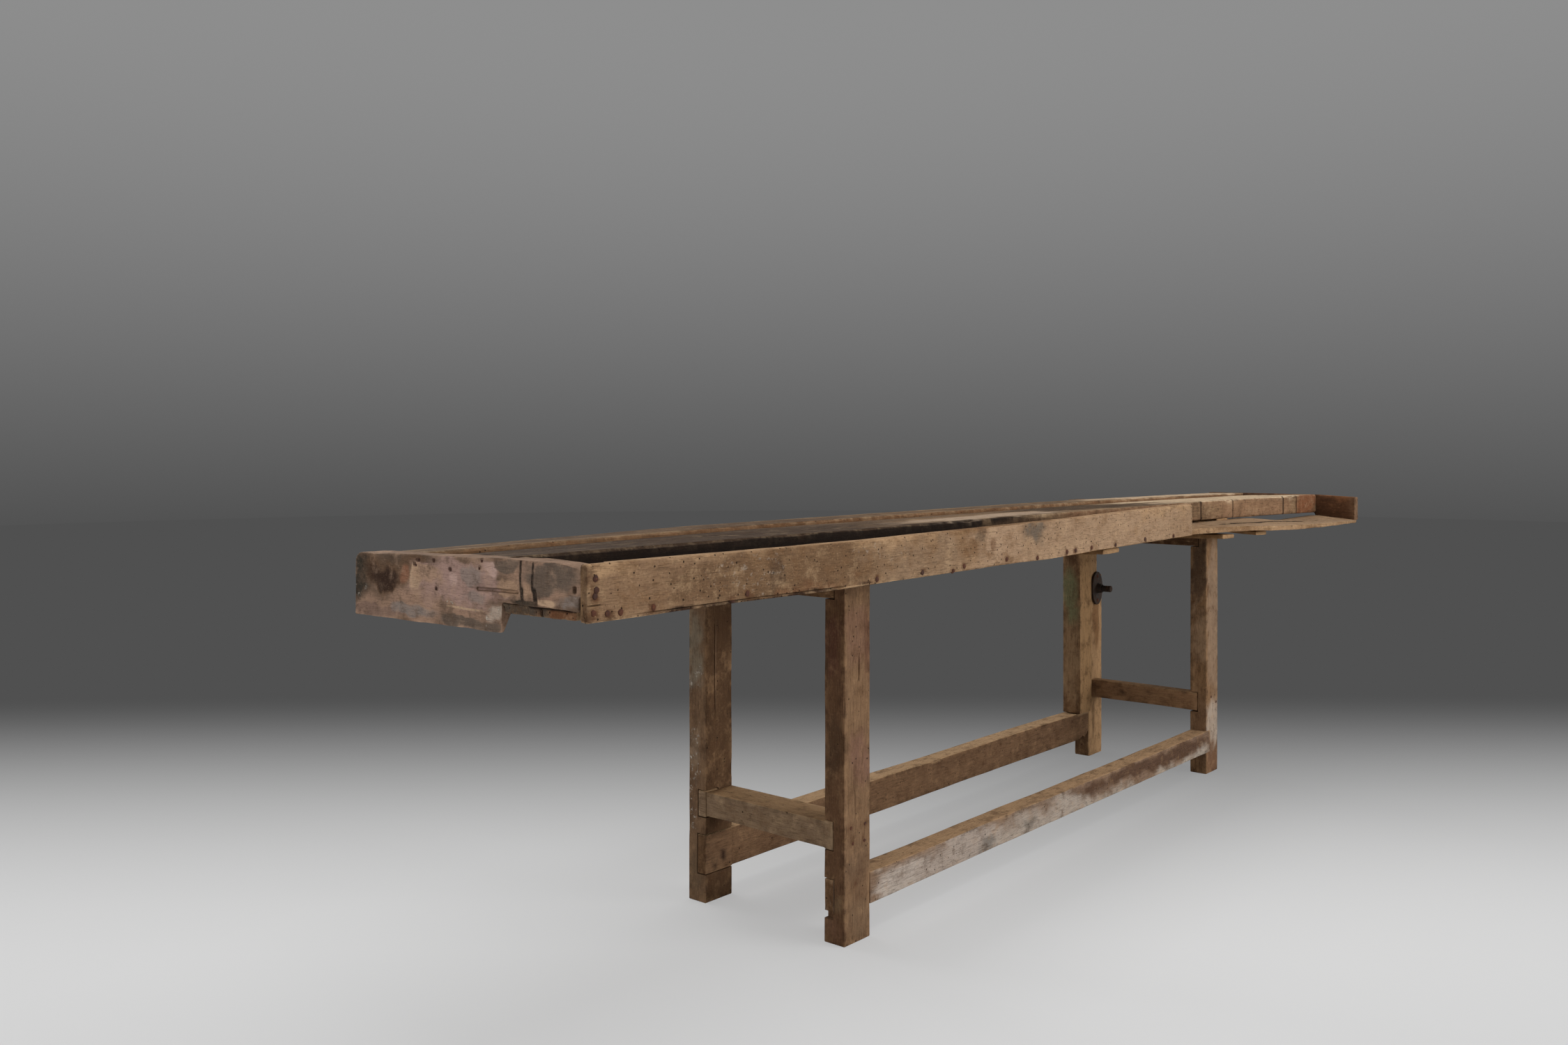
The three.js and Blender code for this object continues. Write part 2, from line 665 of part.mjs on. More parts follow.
  // Tommy bar: it hangs in the hub by its upper knob
  const knobSeat = HUB_RADIUS + SEAT;
  const upperKnob = knobSeat + KNOB_RADIUS;
  const barTop = upperKnob - KNOB_RADIUS + KNOB_SOCKET;
  const barBottom = barTop - BAR_LENGTH;
  const lowerKnob = barBottom + KNOB_SOCKET - KNOB_RADIUS;
  vise.add(piece("tommy_bar", standing(rod(BAR_RADIUS, barBottom, barTop)), iron));
  const ball = (centre) => {
    const arc = [];
    for (let i = 0; i <= ROUND / 2; i += 1) {
      const angle = -Math.PI / 2 + (2 * Math.PI * i) / ROUND;
      arc.push([
        i % (ROUND / 2) === 0 ? 0 : KNOB_RADIUS * Math.cos(angle),
        centre + KNOB_RADIUS * Math.sin(angle),
      ]);
    }
    return turned(arc);
  };
  const knob = (name, centre, z0, z1) => {
    const socket = rod(BAR_RADIUS + SEAT, z0, z1);
    vise.add(piece(name, standing(ball(centre).subtract(socket)), iron));
  };
  knob("tommy_knob_upper", upperKnob, upperKnob - 2 * KNOB_RADIUS, barTop + SEAT);
  knob("tommy_knob_lower", lowerKnob, barBottom - SEAT, lowerKnob + 2 * KNOB_RADIUS);

  // Guide: keeps the jaw upright, with a row of holes and a stop pin in the last one
  const lastHole = legBack - JAW_TRAVEL - RUN_FIT - GUIDE_PIN_RADIUS;
  const guideEnd = lastHole - GUIDE_HOLE_END;
  const middleZ = (localGuideZ[0] + localGuideZ[1]) / 2;
  const middleX = (localGuideX[0] + localGuideX[1]) / 2;
  const across = (body, y) => body.rotate([0, 0, 90]).translate([middleX, y, middleZ]);
  let guide = board(localGuideX, [guideEnd, jawFront], localGuideZ, "y");
  for (let i = 0; i < GUIDE_HOLES; i += 1) {
    const drill = rod(GUIDE_PIN_RADIUS + SEAT, -GUIDE_THICK, GUIDE_THICK);
    guide = guide.subtract(across(drill, lastHole + i * GUIDE_HOLE_PITCH));
  }
  vise.add(piece("chop_guide", guide, timber("pale")));
  const pinBack = GUIDE_THICK / 2 + GUIDE_RAIL_GAP - RUN_FIT;
  const pin = across(rod(GUIDE_PIN_RADIUS, -GUIDE_PIN_LENGTH + pinBack, pinBack), lastHole);
  vise.add(piece("guide_pin", pin, iron));
  return vise;
}

const bench = new THREE.Group();
bench.add(makeBase(), makeTop(), makeTray(), makeVise());

export default bench;
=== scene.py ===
# %% [markdown]
# # An old joiner's bench with a leg vise
# A long plank top with a tool tray along its back stands on a lapped trestle. The construction is
# fixed: it comes in as a frame of named nodes at their real size. This lesson dresses that frame.
# Each timber becomes a worn board with its own grain, and each iron part gets its rust.

# %% Load the frame
import json
import math
from collections import namedtuple

import bmesh
import bpy
import numpy as np
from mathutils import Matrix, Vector

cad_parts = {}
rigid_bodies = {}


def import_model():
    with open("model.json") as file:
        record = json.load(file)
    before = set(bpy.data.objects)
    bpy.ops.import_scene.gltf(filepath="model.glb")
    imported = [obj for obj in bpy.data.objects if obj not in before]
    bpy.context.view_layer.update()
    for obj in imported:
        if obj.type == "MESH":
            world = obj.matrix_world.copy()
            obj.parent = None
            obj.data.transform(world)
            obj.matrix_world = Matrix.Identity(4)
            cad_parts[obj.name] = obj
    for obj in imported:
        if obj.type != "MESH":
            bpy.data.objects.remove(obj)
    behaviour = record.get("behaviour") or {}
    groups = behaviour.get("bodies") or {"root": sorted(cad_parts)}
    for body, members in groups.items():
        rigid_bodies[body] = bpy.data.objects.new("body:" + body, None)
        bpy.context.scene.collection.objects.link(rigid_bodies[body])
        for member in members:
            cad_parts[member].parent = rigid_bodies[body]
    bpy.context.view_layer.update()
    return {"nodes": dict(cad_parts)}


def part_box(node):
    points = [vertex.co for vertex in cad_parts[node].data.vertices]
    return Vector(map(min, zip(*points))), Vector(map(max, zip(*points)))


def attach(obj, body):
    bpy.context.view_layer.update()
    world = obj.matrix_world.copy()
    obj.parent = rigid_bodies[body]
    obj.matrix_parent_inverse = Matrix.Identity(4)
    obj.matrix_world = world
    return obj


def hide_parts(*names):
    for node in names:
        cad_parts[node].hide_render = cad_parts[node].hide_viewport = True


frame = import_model()
scene = bpy.context.scene
scene.view_settings.view_transform = "Standard"
ALONG_X, ALONG_Y, ALONG_Z = 0, 1, 2  # the axis that a board's grain follows
ACROSS_X, ACROSS_Y, ACROSS_Z = 0, 1, 2  # the axis that a face looks along

# %% Faces that the rest is measured from
LEFT_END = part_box("end_cap_left")[0].x
RIGHT_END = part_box("end_board_right")[1].x
FRONT_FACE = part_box("front_plank")[1].y
PLANK_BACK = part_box("rear_plank")[0].y
TRAY_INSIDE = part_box("tray_side")[1].y
BACK_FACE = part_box("tray_side")[0].y
LEFT_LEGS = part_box("leg_back_left")[0].x
RIGHT_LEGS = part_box("leg_back_right")[0].x
print("top runs from", round(LEFT_END, 3), "to", round(RIGHT_END, 3))

# %% [markdown]
# ## Where the camera stands
# The picture was taken level, a little above the bench, from beyond its left end. A level camera
# keeps upright edges upright, so the picture's frame is shifted down instead of tilting the camera.
# The same numbers turn a pixel of the photograph into a place on a face of the bench, which is how
# nails and stains find their spots later on.

# %% Camera
PHOTO_WIDTH = 2250
PHOTO_HEIGHT = 1500
HORIZON_ROW = 640
FOCAL_PIXELS = 1861.5
CAMERA_FROM_FOOT = Vector((-1.9726, -1.5330, 0.966))  # from the near left leg's outer corner
CAMERA_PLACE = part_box("leg_back_left")[0] + CAMERA_FROM_FOOT
CAMERA_HEADING = math.radians(40.515)
SENSOR_WIDTH = 36.0

camera = bpy.data.objects.new("camera", bpy.data.cameras.new("camera"))
scene.collection.objects.link(camera)
scene.camera = camera
camera.location = CAMERA_PLACE
camera.rotation_euler = (math.pi / 2, 0, CAMERA_HEADING - math.pi / 2)
camera.data.sensor_width = SENSOR_WIDTH
camera.data.lens = SENSOR_WIDTH * FOCAL_PIXELS / PHOTO_WIDTH
camera.data.shift_y = (HORIZON_ROW - PHOTO_HEIGHT / 2) / PHOTO_WIDTH
AHEAD = Vector((math.cos(CAMERA_HEADING), math.sin(CAMERA_HEADING), 0))
ASIDE = Vector((AHEAD.y, -AHEAD.x, 0))


def seen_on(pixel, axis, at):
    """The place where the line of sight through a pixel meets the plane where an axis equals at."""
    across = (pixel[0] - PHOTO_WIDTH / 2) / FOCAL_PIXELS
    down = (pixel[1] - HORIZON_ROW) / FOCAL_PIXELS
    ray = AHEAD + across * ASIDE - Vector((0, 0, down))
    return CAMERA_PLACE + ray * ((at - CAMERA_PLACE[axis]) / ray[axis])


print("lens", round(camera.data.lens, 2), "mm, shift", round(camera.data.shift_y, 4))

# %% [markdown]
# ## Shader maths as Python
# Materials could be wired node by node, but a node tree is easier to read as a formula. The class
# below wraps one socket: the operators add Math nodes, and the method called node adds any node at
# all. Colours are mixed, never multiplied by Math nodes, because those would turn them grey.


# %% Sockets with operators
class Shade:
    """A shader socket that works in Python expressions."""

    def __init__(self, socket):
        self.socket = socket

    def node(self, kind, settings, sockets, out=0):
        """Any node: its settings are set first, then the values or links of its sockets."""
        tree = self.socket.id_data
        made = tree.nodes.new(kind)
        for key, value in settings.items():
            setattr(made, key, value)
        for key, value in sockets.items():
            port = made.inputs[key]
            if isinstance(value, Shade):
                tree.links.new(value.socket, port)
            else:
                port.default_value = value
        return Shade(made.outputs[out])

    def maths(self, operation, first, second):
        """A Math node, which the operators below share."""
        return self.node("ShaderNodeMath", {"operation": operation}, {0: first, 1: second})

    def __add__(self, other):
        return self.maths("ADD", self, other)

    __radd__ = __add__

    def __sub__(self, other):
        return self.maths("SUBTRACT", self, other)

    def __rsub__(self, other):
        return self.maths("SUBTRACT", other, self)

    def __mul__(self, other):
        return self.maths("MULTIPLY", self, other)

    __rmul__ = __mul__


print("sockets can be added, subtracted and multiplied")


# %% Small shader words
def rgb(red, green, blue):
    """A colour as a paint chart gives it, 0 to 255, in the linear values that shaders take."""
    shares = [c / 255 for c in (red, green, blue)]
    return (*[c / 12.92 if c <= 0.04045 else ((c + 0.055) / 1.055) ** 2.4 for c in shares], 1)


def begin(name):
    """A new material with its output, and its object coordinates as the first socket."""
    material = bpy.data.materials.new(name)
    material.use_nodes = True
    tree = material.node_tree
    tree.nodes.clear()
    tree.nodes.new("ShaderNodeOutputMaterial")
    return material, Shade(tree.nodes.new("ShaderNodeTexCoord").outputs["Object"])


def scaled(at, factors):
    """A vector with each part multiplied by its own factor."""
    return at.node("ShaderNodeVectorMath", {"operation": "MULTIPLY"}, {0: at, 1: factors})


def noise(at, scale, detail=2.0, roughness=0.5):
    """Soft noise between 0 and 1, with scale waves to the metre."""
    sockets = {"Vector": at, "Scale": scale, "Detail": detail, "Roughness": roughness}
    return at.node("ShaderNodeTexNoise", {}, sockets)


def band(value, low, high):
    """Rises smoothly from 0 at low to 1 at high, and falls where low is the higher number."""
    settings = {"interpolation_type": "SMOOTHSTEP"}
    if low <= high:
        return value.node("ShaderNodeMapRange", settings, {0: value, 1: low, 2: high})
    return 1 - value.node("ShaderNodeMapRange", settings, {0: value, 1: high, 2: low})


def lay(mask, under, over):
    """One colour laid over another where the mask is 1."""
    return mask.node("ShaderNodeMix", {"data_type": "RGBA"}, {0: mask, 6: under, 7: over}, 2)


def parts(at):
    """The three parts of a vector."""
    return [at.node("ShaderNodeSeparateXYZ", {}, {0: at}, i) for i in range(3)]


def stored(at, name, out):
    """A value that the mesh carries at its points."""
    return at.node("ShaderNodeAttribute", {"attribute_name": name}, {}, out)


def principled(colour, roughness, height, depth, metallic=0.0, gloss=0.5):
    """The usual shader: colour, roughness, and a height map in metres as bump."""
    bump = height.node("ShaderNodeBump", {}, {"Height": height, "Distance": depth, "Strength": 1.0})
    sockets = {"Base Color": colour, "Roughness": roughness, "Normal": bump, "Metallic": metallic}
    return height.node("ShaderNodeBsdfPrincipled", {}, {**sockets, "Specular IOR Level": gloss})


def finished(material, shader):
    """Sends a shader to the material's output."""
    output = material.node_tree.nodes["Material Output"]
    material.node_tree.links.new(shader.socket, output.inputs["Surface"])
    return material


print("charted mid grey is", round(rgb(128, 128, 128)[0], 4), "in linear light")

# %% [markdown]
# ## The studio
# The bench stands on a pale seamless floor that falls away to grey behind it. A world of plain grey
# light fills every side. One wide soft box hangs overhead, a second stands off the tray side and
# makes that side the lighter one, as in the photograph, and two more fill the left end and the vise
# side. The backdrop could be a curved wall, but its grey would change with every lamp. So only camera
# rays see the grey of the background. On the floor they see mostly its plain colour and a share of
# the real light, which keeps the shadows as soft as in the picture.

# %% Floor and backdrop
FLOOR_RADIUS = 16.0
POOL_FADE = (-1.0, 1.75)  # where the pale floor starts to darken and ends, along the line of sight
POOL_STRETCH = 0.10  # the pool darkens far less towards its sides
FLOOR_FADE = (6.0, 12.0)  # and all round it, far from the bench
PALE_FLOOR = rgb(208, 208, 208)
DARK_FLOOR = rgb(80, 80, 80)
FLOOR_EDGES = 96
SHADOW_SHARE = 0.42  # of the pale floor's brightness that shadows can take away
SHADOW_FADE = (2.4, 4.2)  # how far from the middle of the bench they end
FLOOR_ROUGHNESS, FLOOR_GLOSS = 0.9, 0.2
FLOOR_RIPPLES = (3.0, 0.0005)  # waves to the metre, and their depth


def studio_floor():
    """A round floor, pale under the bench, whose shadows are softened for the camera."""
    angles = [2 * math.pi * i / FLOOR_EDGES for i in range(FLOOR_EDGES)]
    rim = [(FLOOR_RADIUS * math.cos(a), FLOOR_RADIUS * math.sin(a), 0) for a in angles]
    mesh = bpy.data.meshes.new("floor")
    mesh.from_pydata(rim, [], [list(range(FLOOR_EDGES))])
    floor = bpy.data.objects.new("floor", mesh)
    scene.collection.objects.link(floor)
    material, at = begin("studio_floor")

    def along(direction):
        return at.node("ShaderNodeVectorMath", {"operation": "DOT_PRODUCT"}, {0: at, 1: direction}, 1)

    side = along(ASIDE) * POOL_STRETCH
    behind = band(along(AHEAD) + side * side, *POOL_FADE)
    away = at.node("ShaderNodeVectorMath", {"operation": "LENGTH"}, {0: at}, 1)
    fade = 1 - (1 - behind) * (1 - band(away, *FLOOR_FADE))
    colour = lay(fade, PALE_FLOOR, DARK_FLOOR)
    waves, depth = FLOOR_RIPPLES
    lit = principled(colour, FLOOR_ROUGHNESS, noise(at, waves), depth, gloss=FLOOR_GLOSS)
    even = at.node("ShaderNodeEmission", {}, {"Color": colour, "Strength": 1.0})
    shaded = SHADOW_SHARE * (1 - fade) * (1 - band(away, *SHADOW_FADE))
    to_camera = at.node("ShaderNodeLightPath", {}, {}, "Is Camera Ray") * (1 - shaded)
    shader = at.node("ShaderNodeMixShader", {}, {0: to_camera, 1: lit, 2: even})
    mesh.materials.append(finished(material, shader))
    return floor


print("floor of", len(studio_floor().data.vertices), "edges")

# %% World and soft boxes
WORLD_LIGHT = 0.42
SKY_LOW = rgb(57, 57, 57)
SKY_HIGH = rgb(142, 142, 142)
SKY_SPAN = (-0.20, 0.33)  # the upward part of a line of sight at the darkest and lightest grey


def studio_world():
    """Plain grey light from all sides, and a grey gradient that only the camera sees."""
    world = bpy.data.worlds.new("studio")
    scene.world = world
    world.use_nodes = True
    tree = world.node_tree
    tree.nodes.clear()
    way = Shade(tree.nodes.new("ShaderNodeTexCoord").outputs["Generated"])
    rise = band(parts(way)[2], *SKY_SPAN)
    seen = way.node("ShaderNodeBackground", {}, {"Color": lay(rise, SKY_LOW, SKY_HIGH)})
    light = way.node("ShaderNodeBackground", {}, {"Color": (1, 1, 1, 1), "Strength": WORLD_LIGHT})
    to_camera = way.node("ShaderNodeLightPath", {}, {}, "Is Camera Ray")
    either = way.node("ShaderNodeMixShader", {}, {0: to_camera, 1: light, 2: seen})
    output = tree.nodes.new("ShaderNodeOutputWorld")
    tree.links.new(either.socket, output.inputs["Surface"])


def soft_box(name, place, target, size, power):
    """A rectangular lamp at a place, aimed at a target, with its power in watts."""
    lamp = bpy.data.lights.new(name, "AREA")
    lamp.shape = "RECTANGLE"
    lamp.size, lamp.size_y = size
    lamp.energy = power
    holder = bpy.data.objects.new(name, lamp)
    scene.collection.objects.link(holder)
    holder.location = place
    holder.rotation_euler = (Vector(target) - Vector(place)).to_track_quat("-Z", "Y").to_euler()


studio_world()
soft_box("overhead", place=(0.2, -0.4, 4.6), target=(0.2, 0, 0), size=(5.0, 3.5), power=105)
soft_box("tray_side_light", place=(3.0, -8.0, 2.7), target=(0.2, 0, 0.5), size=(5.0, 3.0), power=540)
soft_box("end_light", place=(-8.0, -2.0, 2.2), target=(-1.0, 0, 0.6), size=(4.0, 3.0), power=90)
soft_box("vise_side_light", place=(-0.5, 7.5, 3.6), target=(0, 0, 0.6), size=(6.0, 3.0), power=320)
print("studio has", sum(o.type == "LIGHT" for o in scene.objects), "soft boxes")

# %% [markdown]
# ## Repeatable unevenness
# Old timber is never flat. The hollows, knocks and wavy edges come from a small lattice noise that
# works on whole arrays of points and gives the same answer in every run. A texture's displacement
# could do the same, but it would move whole meshes, and here single edges and ends are to be shaped.
# Two small words go with it: a ramp between two values, and the same ramp eased.

# %% Lattice noise
LATTICE_PRIMES = (374761393, 668265263, 362437069, 974634777)
MIXING_PRIME = 1274126177
LOW_WORD, LOW_HALF = 0xFFFFFFFF, 0xFFFF


def lattice(corner, seed):
    """A fixed number between -1 and 1 for each corner of the lattice, as if drawn by lot."""
    mixed = seed * LATTICE_PRIMES[3]
    for axis in range(3):
        mixed = mixed + corner[..., axis] * LATTICE_PRIMES[axis]
    mixed = mixed & LOW_WORD
    mixed = ((mixed ^ (mixed >> 13)) * MIXING_PRIME) & LOW_WORD
    return ((mixed ^ (mixed >> 16)) & LOW_HALF) / (LOW_HALF / 2) - 1


def ramp(value, start, end):
    """0 at the start, 1 at the end, and straight in between. The end may be the lower number."""
    return np.clip((value - start) / (end - start), 0, 1)


def smooth(t):
    """The same share with an easy start and finish."""
    return t * t * (3 - 2 * t)


def uneven(points, seed):
    """Smooth noise between -1 and 1 at an array of points, about one wave to the unit."""
    points = np.asarray(points, float)
    cell = np.floor(points).astype(np.int64)
    t = smooth(points - cell)
    total = 0
    for bits in range(8):
        step = np.array([bits & 1, bits >> 1 & 1, bits >> 2 & 1])
        weight = np.prod(np.where(step, t, 1 - t), axis=-1)
        total = total + weight * lattice(cell + step, seed)
    return total


def wander(along, wave, seed):
    """Noise along one line only."""
    return uneven(np.outer(along / wave, [1, 0, 0]), seed)


print("noise at one point", round(float(uneven([[0.3, 1.7, 2.2]], 5)[0]), 4))

# %% [markdown]
# ## A worn board
# A sawn timber could be a box with a bevel, but a hundred years of use leave no edge straight. So a
# board is lofted: a rounded section is repeated along the grain, and every point is pushed in or out
# by noise, with deeper knocks along the arrises and open splits where the timber has dried. One edge
# may be waney, which is what a sawyer calls an edge that still follows the tree.

# %% Section of a board
ARC_STEPS = 4
SIDES = ((0, 1), (1, 1), (0, -1), (1, -1))  # section axis and direction, anticlockwise
CORNERS = ((1, 1), (-1, 1), (-1, -1), (1, -1))
SPLIT_CLEAR = 1.5  # widths of a split within which no other point lies
Split = namedtuple("Split", "side at width depth start end")


def side_marks(side, reach, spacing, splits):
    """Offsets along one side of the section, with three for each split: lip, bottom, lip."""
    count = max(2, round(2 * reach / spacing))
    marks = [(-reach + 2 * reach * i / count, -1, 0) for i in range(count + 1)]
    for index, split in enumerate(splits):
        if split.side == side:
            marks = [m for m in marks if abs(m[0] - split.at) > SPLIT_CLEAR * split.width]
            marks += [(split.at + k * split.width, index, k) for k in (-1, 0, 1)]
    return marks


def section(size_u, size_v, arris, spacing, splits):
    """Points round a rounded rectangle: place, outward normal, corner share, split, part of split."""
    half = (size_u / 2, size_v / 2)
    rows = []
    for turn, side in enumerate(SIDES):
        axis, sign = side
        heading = 1 if turn in (0, 3) else -1
        marks = side_marks(side, half[1 - axis] - arris, spacing, splits)
        for offset, index, role in sorted(marks, key=lambda m: heading * m[0]):
            place, normal = [offset, offset], [0, 0]
            place[axis] = sign * half[axis]
            normal[axis] = sign
            rows.append((*place, *normal, 0.0, index, role))
        for k in range(1, ARC_STEPS):
            angle = math.pi / 2 * (turn + k / ARC_STEPS)
            out = (math.cos(angle), math.sin(angle))
            place = [CORNERS[turn][i] * (half[i] - arris) + arris * out[i] for i in (0, 1)]
            rows.append((*place, *out, 1.0, -1, 0))
    return np.array(rows, float)


print("a board's section has", len(section(0.08, 0.05, 0.003, 0.012, ())), "points")

# %% Wear of a board
BROAD_WAVE = (0.45, 0.10)  # along and across the grain, in metres
SMALL_WAVE = (0.07, 0.02)
EDGE_WAVE = (0.11, 0.03)
BROAD_DEPTH = 0.0012
SMALL_DEPTH = 0.0004
SMALL_SHIFT, EDGE_SHIFT = 7.3, 3.1  # so that the three waves don't fall together
RUBBED = 0.5  # share of an arris that is rubbed away at most
KNOCK_SPACING = 0.13
KNOCK_LENGTH = (0.006, 0.024)
KNOCK_DEPTH = (0.3, 1.2)  # as a share of the arris
SPLIT_FADE = 0.08  # over which a split opens at its ends
SPLIT_UNEVEN = (0.25, 0.11)  # share of its depth, and wave along the grain
SPLIT_SWAY = (0.006, 0.25)  # sideways, and wave along the grain


def wear(at, rows, arris, seed):
    """How far each point stands out: broad and small waves, rubbed corners and knocks."""
    along, corner, normal = at[:, 0, 0], rows[:, 4], rows[:, 2:4]

    def wave(size, shift):
        return uneven(at / np.array([size[0], size[1], size[1]]) + shift, seed)

    height = BROAD_DEPTH * wave(BROAD_WAVE, 0.0) + SMALL_DEPTH * wave(SMALL_WAVE, SMALL_SHIFT)
    height -= corner * arris * RUBBED * np.clip(wave(EDGE_WAVE, EDGE_SHIFT), 0, 1)
    draw = np.random.default_rng(seed)
    for _ in range(int(np.ptp(along) / KNOCK_SPACING)):
        spot = draw.uniform(along[0], along[-1])
        reach = draw.uniform(*KNOCK_LENGTH)
        quarter = draw.integers(4) * math.pi / 2 + math.pi / 4
        facing = np.clip(normal @ [math.cos(quarter), math.sin(quarter)], 0, 1)
        depth = draw.uniform(*KNOCK_DEPTH) * arris
        height -= depth * corner * facing**2 * np.exp(-(((along - spot) / reach) ** 2))[:, None]
    return height


def open_splits(grid, height, along, rows, splits, seed):
    """Sinks the middle of each split and lets the split wander a little."""
    amount, wave = SPLIT_UNEVEN
    sway, sway_wave = SPLIT_SWAY
    for index, split in enumerate(splits):
        column = rows[:, 5] == index
        fade = min(SPLIT_FADE, (split.end - split.start) / 3)
        opening = np.clip((along - split.start) / fade, 0, 1) * np.clip((split.end - along) / fade, 0, 1)
        opening *= split.depth * (1 - amount + amount * wander(along, wave, seed + 1))
        height[:, column & (rows[:, 6] == 0)] -= opening[:, None]
        sideways = min(sway, 2 * split.width) * wander(along, sway_wave, seed + 2)
        grid[:, column, 1 - split.side[0]] += sideways[:, None]


print("a board has a knock every", 1000 * KNOCK_SPACING, "mm")

# %% Board mesh
BOW_WAVE = 1.3
WANEY_WAVE = 0.17
END_ROUND = 0.3  # where the middle step of an end's rounding lies, as a share of the arris


def worn_board(name, low, high, run, seed, arris=0.003, step=0.014, fine=0.012, splits=(), bow=0.0012,
               waney=None):
    """A lofted timber between two corners, its grain along axis run."""
    low, high = np.array(low, float), np.array(high, float)
    across = [(run + 1) % 3, (run + 2) % 3]
    sizes = (high - low)[across]
    rows = section(*sizes, arris, fine, splits)
    length = high[run] - low[run]
    inner = np.linspace(arris, length - arris, max(3, round(length / step)) + 1)
    rounded = END_ROUND * arris
    along = low[run] + np.concatenate([[0, rounded], inner, [length - rounded, length]])
    inset = np.zeros(len(along))
    inset[[0, 1, -2, -1]] = arris * np.array([1, END_ROUND, END_ROUND, 1])
    grid = rows[None, :, 0:2] - rows[None, :, 2:4] * inset[:, None, None]
    at = np.concatenate([np.broadcast_to(along[:, None, None], (*grid.shape[:2], 1)), grid], axis=2)
    height = wear(at, rows, arris, seed)
    open_splits(grid, height, along, rows, splits, seed)
    grid = grid + rows[None, :, 2:4] * height[..., None]
    if waney:
        axis, sign, depth = waney
        share = np.clip(2 * sign * rows[:, axis] / sizes[axis], 0, 1)
        sweep = depth * (0.5 + 0.5 * wander(along, WANEY_WAVE, seed + 5))
        grid[..., axis] -= sign * sweep[:, None] * share
    grid = grid + bow * np.stack([wander(along, BOW_WAVE, seed + k) for k in (11, 12)], axis=1)[:, None]
    points = np.zeros((*grid.shape[:2], 3))
    points[..., run] = along[:, None]
    points[..., across] = grid + ((low + high) / 2)[across]
    return board_object(name, points)


print("boards bow in waves of", BOW_WAVE, "m")

# %% Closing a board
CAP_RINGS = (0.72, 0.4)  # sizes of the rings that close an end


def board_object(name, points):
    """Quads between the rings, and closed ends of shrinking rings."""
    count, width = points.shape[:2]
    verts = [points.reshape(-1, 3)]
    ring = np.arange(width)
    turn = np.roll(ring, -1)
    start = np.arange(count - 1)[:, None] * width
    quads = np.stack([start + ring, start + turn, start + width + turn, start + width + ring], axis=2)
    faces = quads.reshape(-1, 4).tolist()
    total = count * width
    for end, last in ((0, False), (count - 1, True)):
        rim = points[end]
        centre = rim.mean(axis=0)
        outer = end * width + ring
        for share in CAP_RINGS:
            verts.append(centre + (rim - centre) * share)
            inner = total + ring
            total += width
            quads = np.stack([outer, np.roll(outer, -1), np.roll(inner, -1), inner], axis=1)
            faces += (quads if last else quads[:, ::-1]).tolist()
            outer = inner
        verts.append(centre[None])
        fan = np.stack([outer, np.roll(outer, -1), np.full(width, total)], axis=1)
        faces += (fan if last else fan[:, ::-1]).tolist()
        total += 1
    return mesh_object(name, np.concatenate(verts).tolist(), faces)


def mesh_object(name, verts, faces):
    """A new object in the scene from points and faces."""
    mesh = bpy.data.meshes.new(name)
    mesh.from_pydata(verts, [], faces)
    made = bpy.data.objects.new(name, mesh)
    scene.collection.objects.link(made)
    return made


def split_seen(node, run, axis, sign, first, last, width, depth):
    """A split on one face of a board, between two pixels of the photograph."""
    low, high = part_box(node)
    plane = (high if sign > 0 else low)[axis]
    ends = [seen_on(pixel, axis, plane) for pixel in (first, last)]
    other = 3 - run - axis
    at = (ends[0][other] + ends[1][other] - low[other] - high[other]) / 2
    side = (0 if axis == (run + 1) % 3 else 1, sign)
    return Split(side, at, width, depth, *sorted(end[run] for end in ends))


print("an end is closed by", len(CAP_RINGS), "rings and a fan")

# %% [markdown]
# ## Joints are cut, not drawn
# Where a rail is let into a leg, or a stretcher laps through it, the real leg is cut. A dark line
# could be drawn there, but it would stay dark in any light. So the boards are cut the same way with
# a boolean, a hair wider than what goes in, and a true shadow shows. Later steps also bend whole
# boards by moving their points, and the helper for that stands here as well.

# %% Cutting joints
JOINT_LINE = 0.0022


def points_of(mesh):
    """The places of a mesh's points, as an array."""
    place = np.zeros(len(mesh.vertices) * 3)
    mesh.vertices.foreach_get("co", place)
    return place.reshape(-1, 3)


def normals_of(mesh):
    """The directions in which its points face."""
    out = np.zeros(len(mesh.vertices) * 3)
    mesh.vertex_normals.foreach_get("vector", out)
    return out.reshape(-1, 3)


def move_points(mesh, place):
    """Puts a mesh's points in new places."""
    mesh.vertices.foreach_set("co", place.ravel())
    mesh.update()


def reshaped(piece, change, *values):
    """Bends a piece by a function that works on the array of its points."""
    place = points_of(piece.data)
    change(place, *values)
    move_points(piece.data, place)
    return piece


def settled(piece):
    """The piece's mesh with its modifiers worked in."""
    graph = bpy.context.evaluated_depsgraph_get()
    mesh = bpy.data.meshes.new_from_object(piece.evaluated_get(graph))
    piece.modifiers.clear()
    old = piece.data
    piece.data = mesh
    bpy.data.meshes.remove(old)
    mesh.name = piece.name
    return piece


def cut(piece, low, high, line=JOINT_LINE):
    """Cuts a box-shaped housing out of a piece."""
    low, high = Vector(low) - Vector((line,) * 3), Vector(high) + Vector((line,) * 3)
    corners = [[(low, high)[i >> k & 1][k] for k in range(3)] for i in range(8)]
    sides = [(0, 2, 3, 1), (4, 5, 7, 6), (0, 1, 5, 4), (2, 6, 7, 3), (0, 4, 6, 2), (1, 3, 7, 5)]
    cutter = mesh_object("cutter", corners, sides)
    boolean = piece.modifiers.new("joint", "BOOLEAN")
    boolean.operation = "DIFFERENCE"
    boolean.solver = "EXACT"
    boolean.object = cutter
    settled(piece)
    mesh = cutter.data
    bpy.data.objects.remove(cutter)
    bpy.data.meshes.remove(mesh)
    return piece


